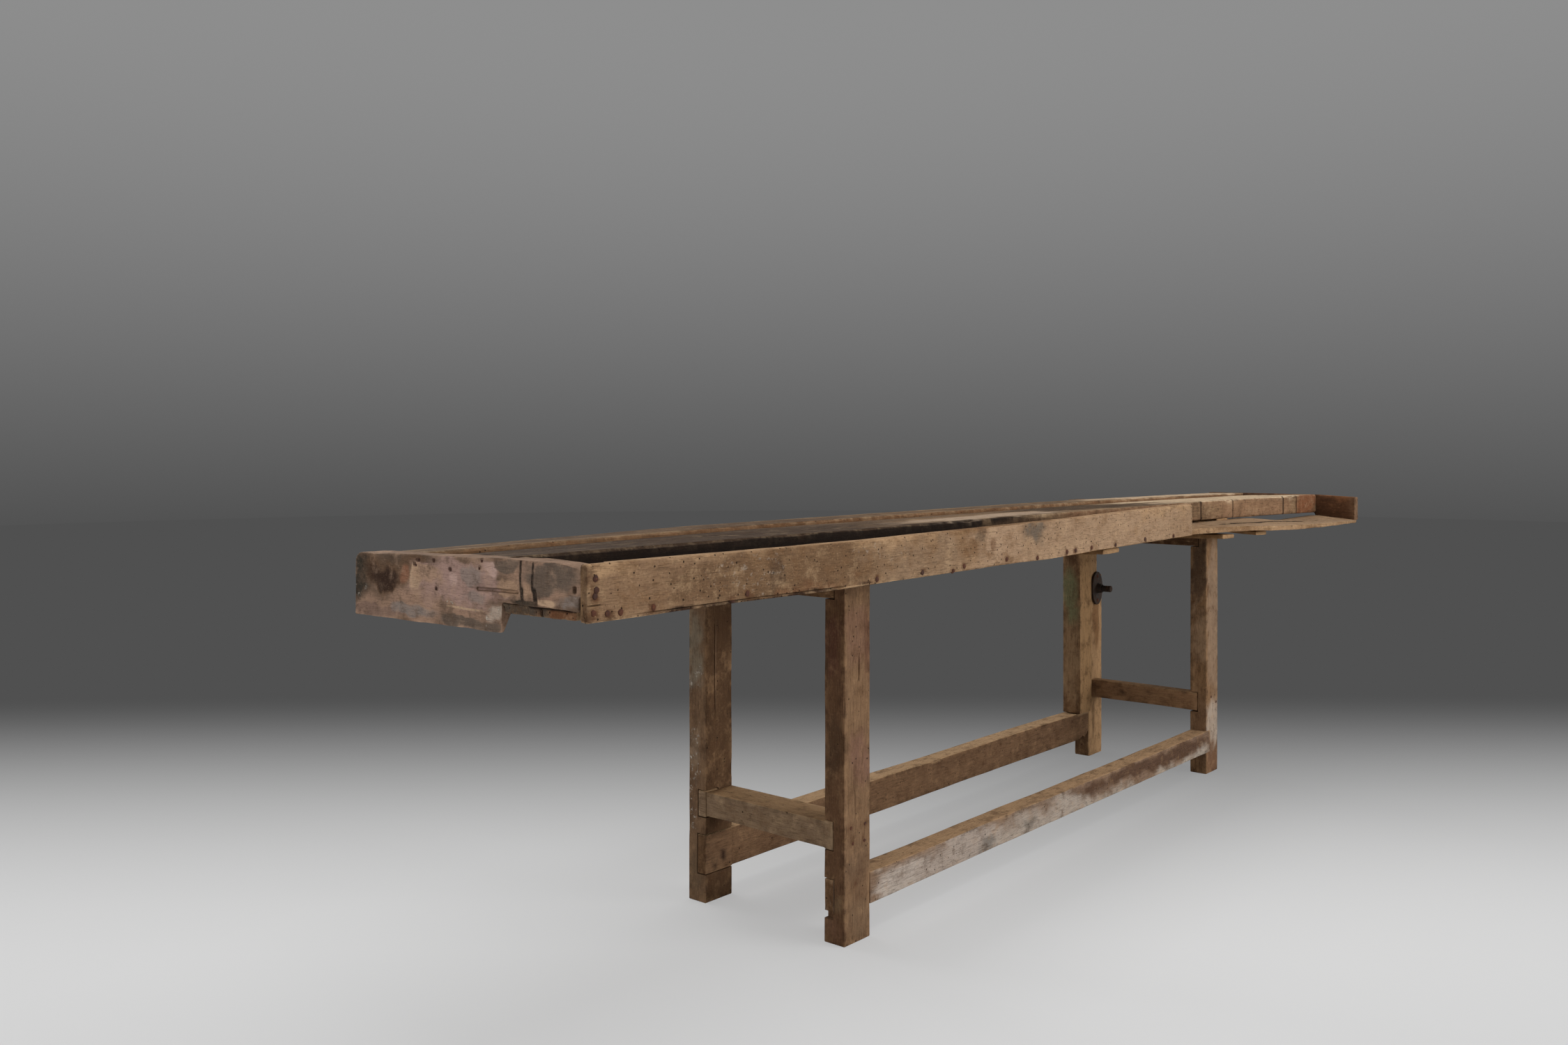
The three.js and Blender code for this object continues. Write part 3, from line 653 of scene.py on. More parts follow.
def joined(piece, *others):
    """Several meshes as one piece, which keeps the first one's name."""
    build = bmesh.new()
    for part in (piece, *others):
        build.from_mesh(part.data)
    build.to_mesh(piece.data)
    build.free()
    for part in others:
        mesh = part.data
        bpy.data.objects.remove(part)
        bpy.data.meshes.remove(mesh)
    return piece


print("joint lines are", 1000 * JOINT_LINE, "mm wide")

# %% [markdown]
# ## Pieces that aren't plain boards
# The notched end cap, the tapered cleats and the vise's jaw can't be lofted from one section. They
# could be drawn again, but their outlines are in the construction already. So their meshes are
# copied, cracks and broken corners are cut, and the result is remeshed into small even quads and
# worn by noise along its normals. That also rounds every edge a little, as handling does.

# %% Remeshed pieces
FINER = (0.4, 0.3)  # depth and wave of a second noise, as shares of the first


def reworked(node, voxel, depth, wave, seed, cuts=()):
    """A copy of a node in even quads, roughened by noise."""
    made = bpy.data.objects.new("worn_" + node, frame["nodes"][node].data.copy())
    made.data.materials.clear()
    scene.collection.objects.link(made)
    for low, high in cuts:
        cut(made, low, high, 0)
    remesh = made.modifiers.new("even", "REMESH")
    remesh.mode = "VOXEL"
    remesh.voxel_size = voxel
    settled(made)
    place = points_of(made.data)
    less, finer = FINER
    height = depth * uneven(place / wave, seed) + less * depth * uneven(place / (finer * wave), seed + 1)
    move_points(made.data, place + normals_of(made.data) * height[:, None])
    return made


print("the end cap is drawn with", len(frame["nodes"]["end_cap_left"].data.vertices), "points")

# %% [markdown]
# ## Stains
# A stain is a place, how far it reaches along each axis, a colour and how well it covers, and it may
# keep to one side of the board. Stains could be painted on an image, but then the finish would hang
# on a file. Here they are worked out at the points of a mesh and stored as a tone and its cover, so
# one timber recipe serves all boards while each board has marks of its own. Noise bends their rims,
# makes them soft in one place and crisp in the next, and draws them out into tongues along the grain.
# A stain that comes from a pixel is given the colour that shows there. The light on that side is
# then taken out of it, which leaves the surface's own colour, but for a few stains that keep painted shade.

# %% What a stain is
Stain = namedtuple("Stain", "place reach colour cover facing", defaults=(None,))
STAIN_START = 1.15  # distance, in reaches, where a stain starts
STAIN_FULL = (0.50, 0.88)  # and where it covers fully: a soft rim, and a crisp one
STAIN_POWER = 2.6  # 2 makes an ellipse, more makes it squarer
FACING_RIM = (0.35, 0.75)  # how far a normal must agree with the way a stain faces
UP = (0, 0, 1)
TO_TRAY = (0, -1, 0)
TO_LEFT = (-1, 0, 0)


def eased(value, low, high):
    """A ramp with an easy start and finish."""
    return smooth(ramp(value, low, high))


print("a stain has", ", ".join(Stain._fields))

# %% Rims of stains
RIM_WAVE = 0.045
CRISPNESS = (-0.4, 0.4)  # noise at which a rim is soft, and at which it is crisp
STAIN_WARPS = ((1.0, 0.045), (0.6, 0.017), (0.35, 0.007))  # size and wave of the bends in its rim
STAIN_BEND = (0.016, 0.6)  # how far a rim bends at most, in metres and as a share of the reach
TONGUES = ((0.7, 0.30, 0.022), (0.5, 0.12, 0.007))  # size, and waves along and across the grain
TONGUE_REACH = (0.13, 0.3)  # how long tongues are at most, given in the same two ways
Ground = namedtuple("Ground", "place normals bends tongues full run")


def ground_of(mesh, run, seed):
    """What stains need to know of a board: its points, and the noise that bends and softens rims."""
    place = points_of(mesh)
    bends, tongues = np.zeros_like(place), np.zeros(len(place))
    for number, (size, wave) in enumerate(STAIN_WARPS):
        for axis in range(3):
            bends[:, axis] += size * uneven(place / wave, seed + 7 * number + axis)
    for number, (size, along, across) in enumerate(TONGUES):
        waves = [along if axis == run else across for axis in range(3)]
        tongues += size * uneven(place / np.array(waves), seed + 41 + number)
    crisp = eased(uneven(place / RIM_WAVE, seed + 31), *CRISPNESS)
    full = STAIN_FULL[0] + (STAIN_FULL[1] - STAIN_FULL[0]) * crisp
    return Ground(place, normals_of(mesh), bends, tongues, full, run)


def share_of(ground, stain):
    """How much of a stain lies at each point, 0 to its cover."""
    reach = np.array(stain.reach)
    bend, bend_share = STAIN_BEND
    tongue, tongue_share = TONGUE_REACH
    offset = ground.place - np.array(stain.place) + ground.bends * np.minimum(bend, bend_share * reach)
    offset[:, ground.run] += ground.tongues * min(tongue, tongue_share * reach[ground.run])
    gap = (np.abs(offset / reach) ** STAIN_POWER).sum(axis=1) ** (1 / STAIN_POWER)
    share = stain.cover * eased(gap, STAIN_START, ground.full)
    if stain.facing is None:
        return share
    return share * eased(ground.normals @ np.array(stain.facing), *FACING_RIM)


print("rims bend by", 1000 * STAIN_BEND[0], "mm at most")

# %% Stains at the points
# Stains darker than this count as oil: the real oil and dirt, and the painted shade inside the tray.
OIL_AND_SHADE_LEVEL = 0.02  # a darker stain than this has filled the wood
UNSTAINED = (0.1, 0.1, 0.1, 1)  # a tone where no stain covers it


def store(mesh, name, kind, key, values):
    """A named value for each point of a mesh, which a material can read."""
    mesh.attributes.new(name, kind, "POINT").data.foreach_set(key, np.ravel(values))


def stain_points(mesh, run, stains, flecks, seed):
    """Lays the stains over each other in order, and stores tone, cover, oil and painted shade, and flecks.
    """
    ground = ground_of(mesh, run, seed)
    count = len(ground.place)
    tone = np.tile(stains[0].colour if stains else UNSTAINED, (count, 1))
    cover, oil = np.zeros(count), np.zeros(count)
    for stain in stains:
        share = share_of(ground, stain)
        oil = oil * (1 - share) + share * (max(stain.colour[:3]) < OIL_AND_SHADE_LEVEL)
        total = share + cover * (1 - share)
        weight = np.where(total > 0, share / np.maximum(total, 1e-6), 0)[:, None]
        tone = tone * (1 - weight) + np.array(stain.colour) * weight
        cover = total
    store(mesh, "tone", "FLOAT_COLOR", "color", tone)
    store(mesh, "toned", "FLOAT", "value", cover)
    store(mesh, "oil_and_shade", "FLOAT", "value", oil)
    specks = sum((share_of(ground, fleck) for fleck in flecks), np.zeros(count))
    store(mesh, "fleck", "FLOAT", "value", specks)


print("stains darker than", OIL_AND_SHADE_LEVEL, "are oily")

# %% Stains from the photograph
LIGHT_ON = (0.70, 1.10, 1.0)  # how brightly faces across X, Y and Z are lit, as a share of their colour
BRIGHTEST = 0.8
STAIN_DEPTH = 0.03  # how far a stain on a face reaches into the board


def own(axis, colour):
    """A surface's own colour, from the colour that it has in the photograph."""
    return [min(value / LIGHT_ON[axis], BRIGHTEST) for value in rgb(*colour)[:3]] + [1]


def stain_seen(axis, at, first, last, colour, cover):
    """A stain on a face, between two opposite corners given as pixels of the photograph."""
    low, high = seen_on(first, axis, at), seen_on(last, axis, at)
    reach = [STAIN_DEPTH if i == axis else abs(high[i] - low[i]) / 2 for i in range(3)]
    return Stain((low + high) / 2, reach, own(axis, colour), cover, (TO_LEFT, TO_TRAY, UP)[axis])


def stains_on(axis, at, patches):
    """Stains on one face, from rows of two pixels, a colour and a cover."""
    return [stain_seen(axis, at, *patch) for patch in patches]


def flecks_on(axis, at, patches, cover=1.0):
    """Flecks of limewash on one face, from pairs of pixels. A fleck's own colour isn't used."""
    return [stain_seen(axis, at, *patch, (0, 0, 0), cover) for patch in patches]


print("middle grey seen on the left end is really", round(own(ACROSS_X, (128, 128, 128))[0], 3))

# %% [markdown]
# ## Dressing a piece
# Timber looks different along its grain, at its ends and on its rubbed edges. A material could guess
# these from the object's box, but pieces that are cut or bent would guess wrongly. So every finished
# piece gets at its points: where it lies along and across its grain, how close it is to an edge,
# whether it is end grain, and its stains and paint flecks. Then it rides on the body that carries it
# and stands in for its node.

# %% Grain, wear and riding
SMOOTH_ANGLE = math.radians(38)
EDGE_REACH = 0.006
PITH = (0.05, 0.12)  # how far the pith of the tree lies from the middle of a board
GRAIN_SHIFT = 20  # metres along the grain, either way, so that no two boards look alike
END_GRAIN = (0.45, 0.95)  # how far a normal must follow the grain to show its end


def dressed(piece, node, run, seed, finish, body="bench", stains=(), flecks=()):
    """Stores grain, wear and stains at the points, and puts the piece in its node's place."""
    mesh = piece.data
    place = points_of(mesh)
    low, high = place.min(axis=0), place.max(axis=0)
    draw = np.random.default_rng(seed)
    order = [run, (run + 1) % 3, (run + 2) % 3]
    pith = draw.uniform(*PITH, 2) * draw.choice([-1, 1], 2)
    shift = np.array([draw.uniform(-GRAIN_SHIFT, GRAIN_SHIFT), *pith])
    grain = place[:, order] - ((low + high) / 2)[order] + shift
    along = np.abs(normals_of(mesh)[:, run])
    nearest = np.sort(np.minimum(place - low, high - place), axis=1)[:, 1]
    store(mesh, "grain", "FLOAT_VECTOR", "vector", grain)
    store(mesh, "worn", "FLOAT", "value", np.exp(-np.clip(nearest, 0, None) / EDGE_REACH))
    store(mesh, "ends", "FLOAT", "value", ramp(along, *END_GRAIN))
    stain_points(mesh, run, stains, flecks, seed)
    mesh.shade_smooth()
    mesh.set_sharp_from_angle(angle=SMOOTH_ANGLE)
    mesh.materials.clear()
    mesh.materials.append(finish)
    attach(piece, body)
    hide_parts(node)
    print(piece.name, len(mesh.polygons), "faces")
    return piece


print("edges wear over", 1000 * EDGE_REACH, "mm")

# %% [markdown]
# ## Old timber
# The timbers of the bench differ in colour, but all are dry, dusty and bored by beetles. Pictures of
# wood could be wrapped round the boards, but they would show seams at every corner. So one recipe makes
# every wooden finish. Growth rings are cylinders round a pith that lies away from the middle of the
# board, so flat faces show long bands and ends show arcs. Over them come blotches, long streaks, a
# mottled bloom of dust, fine fibres and pores, all in the board's own coordinates. Edges are rubbed
# paler or gone dark with dirt, and beetles have left round holes.

# %% Timber recipe
DIRT = rgb(44, 30, 20)
HOLE_BLACK = rgb(36, 25, 18)
LIMEWASH = rgb(206, 196, 182)
WOOD_GLOSS, WOOD_ROUGHNESS, WOOD_RELIEF = 0.06, 0.85, 0.0016
# Oil and dirt, and the painted shade inside the tray, hide dust and specks alike.
OIL_AND_SHADE_HIDES = 0.85  # share of dust and specks that oil hides
BLOTCHES = (2.4, 10.0, 10.0)  # waves to the metre, along the grain and across it
STREAKS = (2.6, 70.0, 70.0)
BLOOM = (30.0, 62.0, 62.0)
FIBRES = (22.0, 520.0, 520.0)
PORES = (55.0, 1300.0, 1300.0)


def growth_rings(grain):
    """Rings round the pith, drawn out along the grain."""
    settings = {"wave_type": "RINGS", "rings_direction": "X", "wave_profile": "SAW"}
    sockets = {"Vector": scaled(grain, (0.25, 1, 1)), "Scale": 42.0, "Distortion": 5.0, "Detail": 3.0}
    return grain.node("ShaderNodeTexWave", settings, sockets, "Fac")


def dots(at, scale, size, share):
    """Round dots: one in each cell of a jumbled grid, kept in the given share of the cells."""
    cells = {"Vector": at, "Scale": scale, "Randomness": 1.0}
    spot = at.node("ShaderNodeTexVoronoi", {}, cells, "Distance")
    pick = parts(at.node("ShaderNodeTexVoronoi", {}, cells, "Color"))[0]
    return band(spot, size, 0.6 * size) * band(pick, 1 - share, 1.02 - share)


def sawn_wood(grain, pale, body, dark, streaks, lines, mottle, bloom):
    """The wood before it was used: blotches, streaks, rings and a mottled bloom."""
    blotch = noise(scaled(grain, BLOTCHES), 1.0, 4.0, 0.62)
    streak = noise(scaled(grain, STREAKS), 1.0, 5.0, 0.66)
    rings = growth_rings(grain)
    colour = lay(band(blotch, 0.34, 0.62), dark, body)
    colour = lay(band(streak, 0.52, 0.78) * streaks, colour, pale)
    colour = lay(band(streak, 0.47, 0.24) * streaks, colour, dark)
    colour = lay(band(rings, 0.55, 1.0) * 0.22 * lines, colour, dark)
    colour = lay(band(bloom, 0.53, 0.70) * mottle, colour, pale)
    colour = lay(band(bloom, 0.47, 0.32) * mottle, colour, dark)
    return colour, streak * 0.5 + rings * 0.12


def timber(name, pale, body, dark, streaks=0.45, lines=0.8, specks=0.4, holes=0.2, mottle=0.55,
           grime=0.5):
    """A finish of dry old wood, with the stains and flecks that its mesh carries."""
    material, at = begin(name)
    grain = stored(at, "grain", "Vector")
    worn = stored(at, "worn", "Fac")
    bloom = noise(scaled(grain, BLOOM), 1.0, 7.0, 0.74)
    fibre = noise(scaled(grain, FIBRES), 1.0, 2.0)
    pores = band(noise(scaled(grain, PORES), 1.0, 1.0), 0.60, 0.72)
    speck = noise(at, 300.0, 4.0, 0.65)
    colour, height = sawn_wood(grain, pale, body, dark, streaks, lines, mottle, bloom)
    colour = lay(stored(at, "ends", "Fac") * 0.4, colour, dark)
    # Under oil and under the painted shade inside the tray, dust and pale specks are hidden.
    oil_and_shade = stored(at, "oil_and_shade", "Fac")
    dry = 1 - OIL_AND_SHADE_HIDES * oil_and_shade
    cover = stored(at, "toned", "Fac") * (0.85 + 0.3 * band(bloom, 0.36, 0.58)) + 0.15 * oil_and_shade
    colour = lay(cover, colour, stored(at, "tone", "Color"))
    dirty = noise(at, 26.0, 8.0, 0.72)
    colour = lay(band(bloom, 0.45, 0.28) * 0.34, colour, DIRT)
    colour = lay(band(dirty, 0.50, 0.34) * grime * dry, colour, dark)
    colour = lay(band(dirty, 0.52, 0.70) * grime * 0.6 * dry, colour, pale)
    colour = lay(band(fibre, 0.52, 0.30) * 0.35 * lines, colour, DIRT)
    colour = lay(pores * 0.35 * lines, colour, DIRT)
    colour = lay(band(speck, 0.56, 0.74) * specks * 0.55 * dry, colour, pale)
    colour = lay(band(speck, 0.44, 0.27) * specks, colour, DIRT)
    rub = noise(at, 30.0, 4.0, 0.65)
    colour = lay(worn * band(rub, 0.47, 0.62) * 0.35 * dry, colour, pale)
    colour = lay(worn * band(rub, 0.50, 0.36) * 0.6, colour, DIRT)
    bored = dots(at, 95.0, 0.17, holes) + dots(at, 42.0, 0.085, holes)
    colour = lay(bored * 0.9, colour, HOLE_BLACK)
    flakes = stored(at, "fleck", "Fac") * band(noise(at, 90.0, 7.0, 0.75), 0.56, 0.62)
    colour = lay(flakes * 0.6, colour, LIMEWASH)
    height = height + fibre * 0.3 - pores * 0.25 + bloom * 0.5 - bored * 1.2 + flakes * 0.3
    return finished(material, principled(colour, WOOD_ROUGHNESS, height, WOOD_RELIEF, 0.0, WOOD_GLOSS))


print("finest pores:", PORES[1], "to the metre")

# %% Timber finishes
base_finish = timber("base_timber", rgb(164, 130, 96), rgb(124, 94, 66), rgb(78, 54, 36))
rail_finish = timber("rail_timber", rgb(186, 157, 122), rgb(152, 124, 94), rgb(104, 79, 56))
top_finish = timber("top_timber", rgb(170, 146, 116), rgb(126, 101, 75), rgb(72, 54, 39), streaks=0.6)
tray_finish = timber("tray_timber", rgb(186, 156, 121), rgb(156, 126, 95), rgb(108, 79, 53),
                     streaks=0.25, lines=0.5, specks=0.6, holes=0.6)
cap_finish = timber("cap_timber", rgb(190, 157, 131), rgb(170, 137, 115), rgb(96, 78, 64),
                    streaks=0.08, lines=0.35, specks=0.4, holes=0.3, mottle=0.3, grime=0.65)
end_finish = timber("end_timber", rgb(120, 84, 57), rgb(82, 55, 37), rgb(52, 35, 24))
pale_finish = timber("pale_timber", rgb(190, 154, 112), rgb(160, 124, 86), rgb(112, 82, 54))
print("timber finishes:", sum(m.name.endswith("_timber") for m in bpy.data.materials))

# %% [markdown]
# ## Rusted iron
# The nut, the screw, the bar and the nails have a brown skin of old rust. Plain metal with a brown
# colour would shine too evenly. So one noise lays patches that are darker and smoother where hands or
# oil have kept the metal, and a finer one makes the rest rough, and orange in its pits.

# %% Iron recipe
IRON_RELIEF = 0.0012


def rusted(name, dark, brown, orange, metallic, gloss):
    """A finish of rusted iron."""
    material, at = begin(name)
    patches = noise(at, 34.0, 5.0, 0.65)
    pits = noise(at, 210.0, 4.0, 0.6)
    colour = lay(band(patches, 0.40, 0.62), dark, brown)
    colour = lay(band(pits, 0.52, 0.70) * 0.6, colour, orange)
    roughness = 0.55 + 0.35 * band(patches, 0.35, 0.65)
    height = patches * 0.5 + pits
    return finished(material, principled(colour, roughness, height, IRON_RELIEF, metallic, gloss))


iron_finish = rusted("rusted_iron", rgb(38, 31, 26), rgb(60, 43, 31), rgb(80, 52, 33),
                     metallic=0.3, gloss=0.4)
nail_finish = rusted("rusted_nails", rgb(58, 38, 31), rgb(80, 50, 38), rgb(104, 64, 42),
                     metallic=0.0, gloss=0.1)
print("iron finishes:", iron_finish.name, nail_finish.name)

# %% [markdown]
# ## How the old bench lies
# Nothing on it is level any more. The left end has dropped towards its front corner, the tray side
# climbs to its sawn end, and the thin floor of the tray twists and sags beyond it. Boards could be
# turned a little as a whole, but joints would open that are closed on the bench. So each lie below is
# a height in metres for every point, added after a board is made. Boards stay straight in their own
# drawing and bend together where they are put together.

# %% Lies
LEFT_DROOP = 0.012
RIGHT_DROOP = 0.008
SLOW_START = 1.3  # the power by which a bend starts slowly
TRAY_RISE = (0.0014, 0.0156)  # everywhere, and further up at the sawn end
TRAY_RISE_SPAN = (-1.15, 0.24)
# heights of the tray floor's two edges, at stations along the bench
FLOOR_STATIONS = (-1.15, 0.24, 0.68, 0.95, 1.10, 1.38, 1.60, 1.795)
OUTER_EDGE = (0.0014, 0.0150, 0.0045, -0.0080, -0.0120, -0.0150, -0.0132, -0.0155)
INNER_EDGE = (0.0, 0.0040, 0.0045, 0.0045, 0.0036, -0.0150, -0.0060, 0.0020)
BEND_LENGTH = 0.16  # over which a bend of the floor is eased


def lie_of_top(place):
    """Both ends droop: the left one at its front corner, the right one most at its back."""
    x, y = place[:, 0], place[:, 1]
    to_left = ramp(x, LEFT_LEGS, LEFT_END)
    to_right = ramp(x, RIGHT_LEGS, RIGHT_END)
    to_front = ramp(y, PLANK_BACK, FRONT_FACE)
    to_back = ramp(y, PLANK_BACK, TRAY_INSIDE)
    return -LEFT_DROOP * to_left * to_front - RIGHT_DROOP * to_right**SLOW_START * (1 + to_back)


def lie_of_tray_side(place):
    """The tray side climbs to its sawn end."""
    t = ramp(place[:, 0], *TRAY_RISE_SPAN)
    return TRAY_RISE[0] + TRAY_RISE[1] * t**SLOW_START


def lie_of_tray_floor(place):
    """The floor twists between its two edges, and each bend is eased."""
    near = ramp(place[:, 1], PLANK_BACK, TRAY_INSIDE)
    reach = [place[:, 0] + offset for offset in np.linspace(-BEND_LENGTH / 2, BEND_LENGTH / 2, 7)]
    outer = np.mean([np.interp(x, FLOOR_STATIONS, OUTER_EDGE) for x in reach], axis=0)
    inner = np.mean([np.interp(x, FLOOR_STATIONS, INNER_EDGE) for x in reach], axis=0)
    return near * outer + (1 - near) * inner


def lifted(place, lie):
    """Adds a lie's heights to points."""
    place[:, 2] += lie(place)


def laid(piece, lie):
    """Bends a piece to a lie."""
    return reshaped(piece, lifted, lie)


print("sawn end rises", round(1000 * sum(TRAY_RISE), 1), "mm")

# %% [markdown]
# ## Nails
# Hand-driven nails hold the tray side, the laps and the end cap. They could be dots of colour, but a
# head catches light and throws a small shadow. So a head is a small dome of a few rings, a little out
# of round. Each one is found by its pixel in the photograph and then set on the nearest point of the
# finished board, so that it sits on the wood whichever way the board bends.

# %% Nail heads
NAIL_EDGES = 9
NAIL_RINGS = ((1.0, -0.35), (1.0, 0.10), (0.78, 0.24), (0.35, 0.30))  # radius and height, in radii
OUT_OF_ROUND = (0.86, 1.12)
RUST_REACH = 1.7  # in radii
RUST, RUST_COVER = rgb(82, 54, 36), 0.8
nail_heads = []


def drive(piece, pixels, axis, at, radius):
    """Sets a nail head on a piece at each pixel."""
    for pixel in pixels:
        _, place, normal, _ = piece.closest_point_on_mesh(seen_on(pixel, axis, at))
        nail_heads.append((place, normal, radius))


def rust_round(pixels, axis, at, radius):
    """The rust that a nail leaks into the wood round it."""
    reach = [radius * RUST_REACH] * 3
    return [Stain(seen_on(pixel, axis, at), reach, RUST, RUST_COVER) for pixel in pixels]


def make_nails(name):
    """All nail heads as one piece."""
    verts, faces = [], []
    for number, (place, normal, radius) in enumerate(nail_heads):
        draw = np.random.default_rng(number)
        tangent = normal.orthogonal().normalized()
        side = normal.cross(tangent)
        rim = radius * draw.uniform(*OUT_OF_ROUND, NAIL_EDGES)
        start = len(verts)
        for share, height in NAIL_RINGS:
            for k in range(NAIL_EDGES):
                angle = 2 * math.pi * k / NAIL_EDGES
                spoke = tangent * math.cos(angle) + side * math.sin(angle)
                verts.append(place + spoke * share * rim[k] + normal * height * radius)
        for row in range(len(NAIL_RINGS) - 1):
            for k in range(NAIL_EDGES):
                a, b = start + row * NAIL_EDGES + k, start + row * NAIL_EDGES + (k + 1) % NAIL_EDGES
                faces.append((a, b, b + NAIL_EDGES, a + NAIL_EDGES))
        faces.append(tuple(range(start + NAIL_EDGES - 1, start - 1, -1)))
        top = start + (len(NAIL_RINGS) - 1) * NAIL_EDGES
        faces.append(tuple(range(top, top + NAIL_EDGES)))
    nails = mesh_object(name, verts, faces)
    nails.data.shade_smooth()
    nails.data.materials.append(nail_finish)
    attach(nails, "bench")
    print(name, len(nail_heads), "heads")


print("a nail head has", NAIL_EDGES * len(NAIL_RINGS), "points")

# %% [markdown]
# ## The legs
# Four sawn legs and the post of the vise carry everything. The left rail and both stretchers are let
# into the left legs, and the bearers under the top are housed in the heads of the legs, of which a
# thin cheek is left outside. Legs could simply run through what meets them, but then nothing would
# show how the bench is put together. So each leg is cut by what passes through it. The back legs end
# below the floor of the tray, the front ones below the planks. Their outer faces have their own
# history: one went dark and red, another caught splashes of limewash.

# %% Helpers for the base
STRETCHER_LAP = 0.023
BRIDLE_CHEEK = 0.0257  # thickness of leg left outside a bearer's end
HOUSING_COVER = 0.008  # and over it
PLANK_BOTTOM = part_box("front_plank")[0].z
LEG_GAP = 0.001
UNDER_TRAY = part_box("tray_side")[0].z - LEG_GAP  # where the back legs end, below the tray's floor
CRISP = 0.002  # arris of the timbers of the base


def over_face(node, facing, colour, cover):
    """A stain over one whole side of a piece."""
    low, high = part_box(node)
    axis = int(np.argmax(np.abs(facing)))
    return Stain((low + high) / 2, (high - low) * 3 + Vector((1, 1, 1)), own(axis, colour), cover, facing)


def base_board(node, low, high, run, seed, cuts=(), stains=(), flecks=(), **shape):
    """A timber of the base: a worn board, cut by what passes through it."""
    piece = worn_board("worn_" + node, low, high, run, seed, arris=CRISP, **shape)
    for low_cut, high_cut in cuts:
        cut(piece, low_cut, high_cut)
    return dressed(piece, node, run, seed, base_finish, stains=stains, flecks=flecks)


def lap_of(stretcher, leg, inner_side):
    """Where a stretcher's tongue passes through a left leg."""
    low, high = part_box(leg)
    bar_low, bar_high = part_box(stretcher)
    y = (high.y - STRETCHER_LAP, high.y) if inner_side > 0 else (low.y, low.y + STRETCHER_LAP)
    return Vector((low.x, y[0], bar_low.z)), Vector((high.x, y[1], bar_high.z))


def leg_box(node, top):
    """A leg's box, carried up beside the bearer to what lies above it."""
    low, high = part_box(node)
    return low, Vector((high.x, high.y, top))


def bearer_box(node, back_leg, front_leg=None):
    """A bearer's box, its ends housed in the legs."""
    low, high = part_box(node)
    low.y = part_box(back_leg)[0].y + BRIDLE_CHEEK
    if front_leg:
        high.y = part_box(front_leg)[1].y - BRIDLE_CHEEK
    return low, high


def housing(box, top):
    """Where a bearer's end is let into a leg."""
    return box[0], Vector((box[1].x, box[1].y, top - HOUSING_COVER))


bearer_left = bearer_box("bearer_left", "leg_back_left", "leg_front_left")
bearer_right = bearer_box("bearer_right", "leg_back_right")
back_lap = lap_of("stretcher_back", "leg_back_left", 1)
front_lap = lap_of("stretcher_front", "leg_front_left", -1)
rail_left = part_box("end_rail_left")
rail_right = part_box("end_rail_right")
print("back lap at height", round(back_lap[0].z, 3))

# %% Near left leg
LEG_NAILS = ((1221, 1189), (1241, 1182), (1223.5, 1211), (1240, 1206))
LEG_SPOTS = ((1225.5, 1268), (1237, 1259), (1229, 1284))
NEAR_SPLITS = (
    ((1231.5, 942), (1235, 974), 0.0022, 0.010),
    ((1226, 1130), (1226, 1178), 0.0010, 0.005),
)
NEAR_OUTER = (
    ((1212, 880), (1252, 960), (122, 90, 74), 0.5),
    ((1240, 860), (1252, 985), (92, 62, 47), 0.6),
    ((1216, 1062), (1250, 1130), (120, 88, 74), 0.6),
    ((1216, 1290), (1250, 1345), (116, 92, 70), 0.6),
    ((1212, 1225), (1250, 1262), (100, 78, 60), 0.5),
)
NEAR_SIDE = (
    ((1184, 885), (1210, 985), (72, 46, 36), 0.7),
    ((1184, 1030), (1206, 1130), (58, 43, 31), 0.6),
    ((1183, 1258), (1196, 1302), (80, 60, 46), 0.8),
    ((1196, 1285), (1211, 1312), (92, 74, 54), 0.7),
    ((1182, 1305), (1211, 1358), (94, 68, 52), 0.6),
)
CHIP = Vector((0.012, 0.020, 0.012))  # broken off beside the lap
CHIP_OUTSIDE = 0.002
LEG_NAIL, LEG_RUST = 0.0036, 0.0035  # radii

near_leg = leg_box("leg_back_left", UNDER_TRAY)
chip_low = Vector((near_leg[0].x - CHIP_OUTSIDE, near_leg[1].y - CHIP.y, back_lap[0].z - CHIP.z))
near_left = base_board(
    "leg_back_left", *near_leg, ALONG_Z, 21,
    cuts=[back_lap, rail_left, housing(bearer_left, UNDER_TRAY), (chip_low, chip_low + CHIP)],
    splits=[split_seen("leg_back_left", ALONG_Z, ACROSS_Y, -1, *split) for split in NEAR_SPLITS],
    stains=[
        over_face("leg_back_left", TO_TRAY, (122, 96, 73), 0.65),
        over_face("leg_back_left", TO_LEFT, (76, 54, 38), 0.85),
        *stains_on(ACROSS_Y, near_leg[0].y, NEAR_OUTER),
        *stains_on(ACROSS_X, near_leg[0].x, NEAR_SIDE),
        *rust_round(LEG_NAILS + LEG_SPOTS, ACROSS_Y, near_leg[0].y, LEG_RUST),
    ],
)
drive(near_left, LEG_NAILS, ACROSS_Y, near_leg[0].y, LEG_NAIL)

# %% Front left leg
FRONT_SPLIT = ((1024, 878), (1030, 1040), 0.0013, 0.007)
FRONT_SIDE = (
    ((985, 875), (1007, 990), (104, 94, 79), 0.8),
    ((985, 955), (1006, 990), (124, 114, 100), 0.5),
    ((992, 1026), (1004, 1042), (62, 46, 34), 0.7),
    ((987, 1050), (1005, 1100), (116, 99, 82), 0.6),
    ((985, 1110), (1003, 1195), (78, 60, 46), 0.7),
    ((988, 1200), (1012, 1290), (82, 66, 50), 0.7),
)
FRONT_FLECKS = (((985, 955), (1006, 995)), ((985, 1045), (1006, 1110)), ((984, 1105), (997, 1190)))

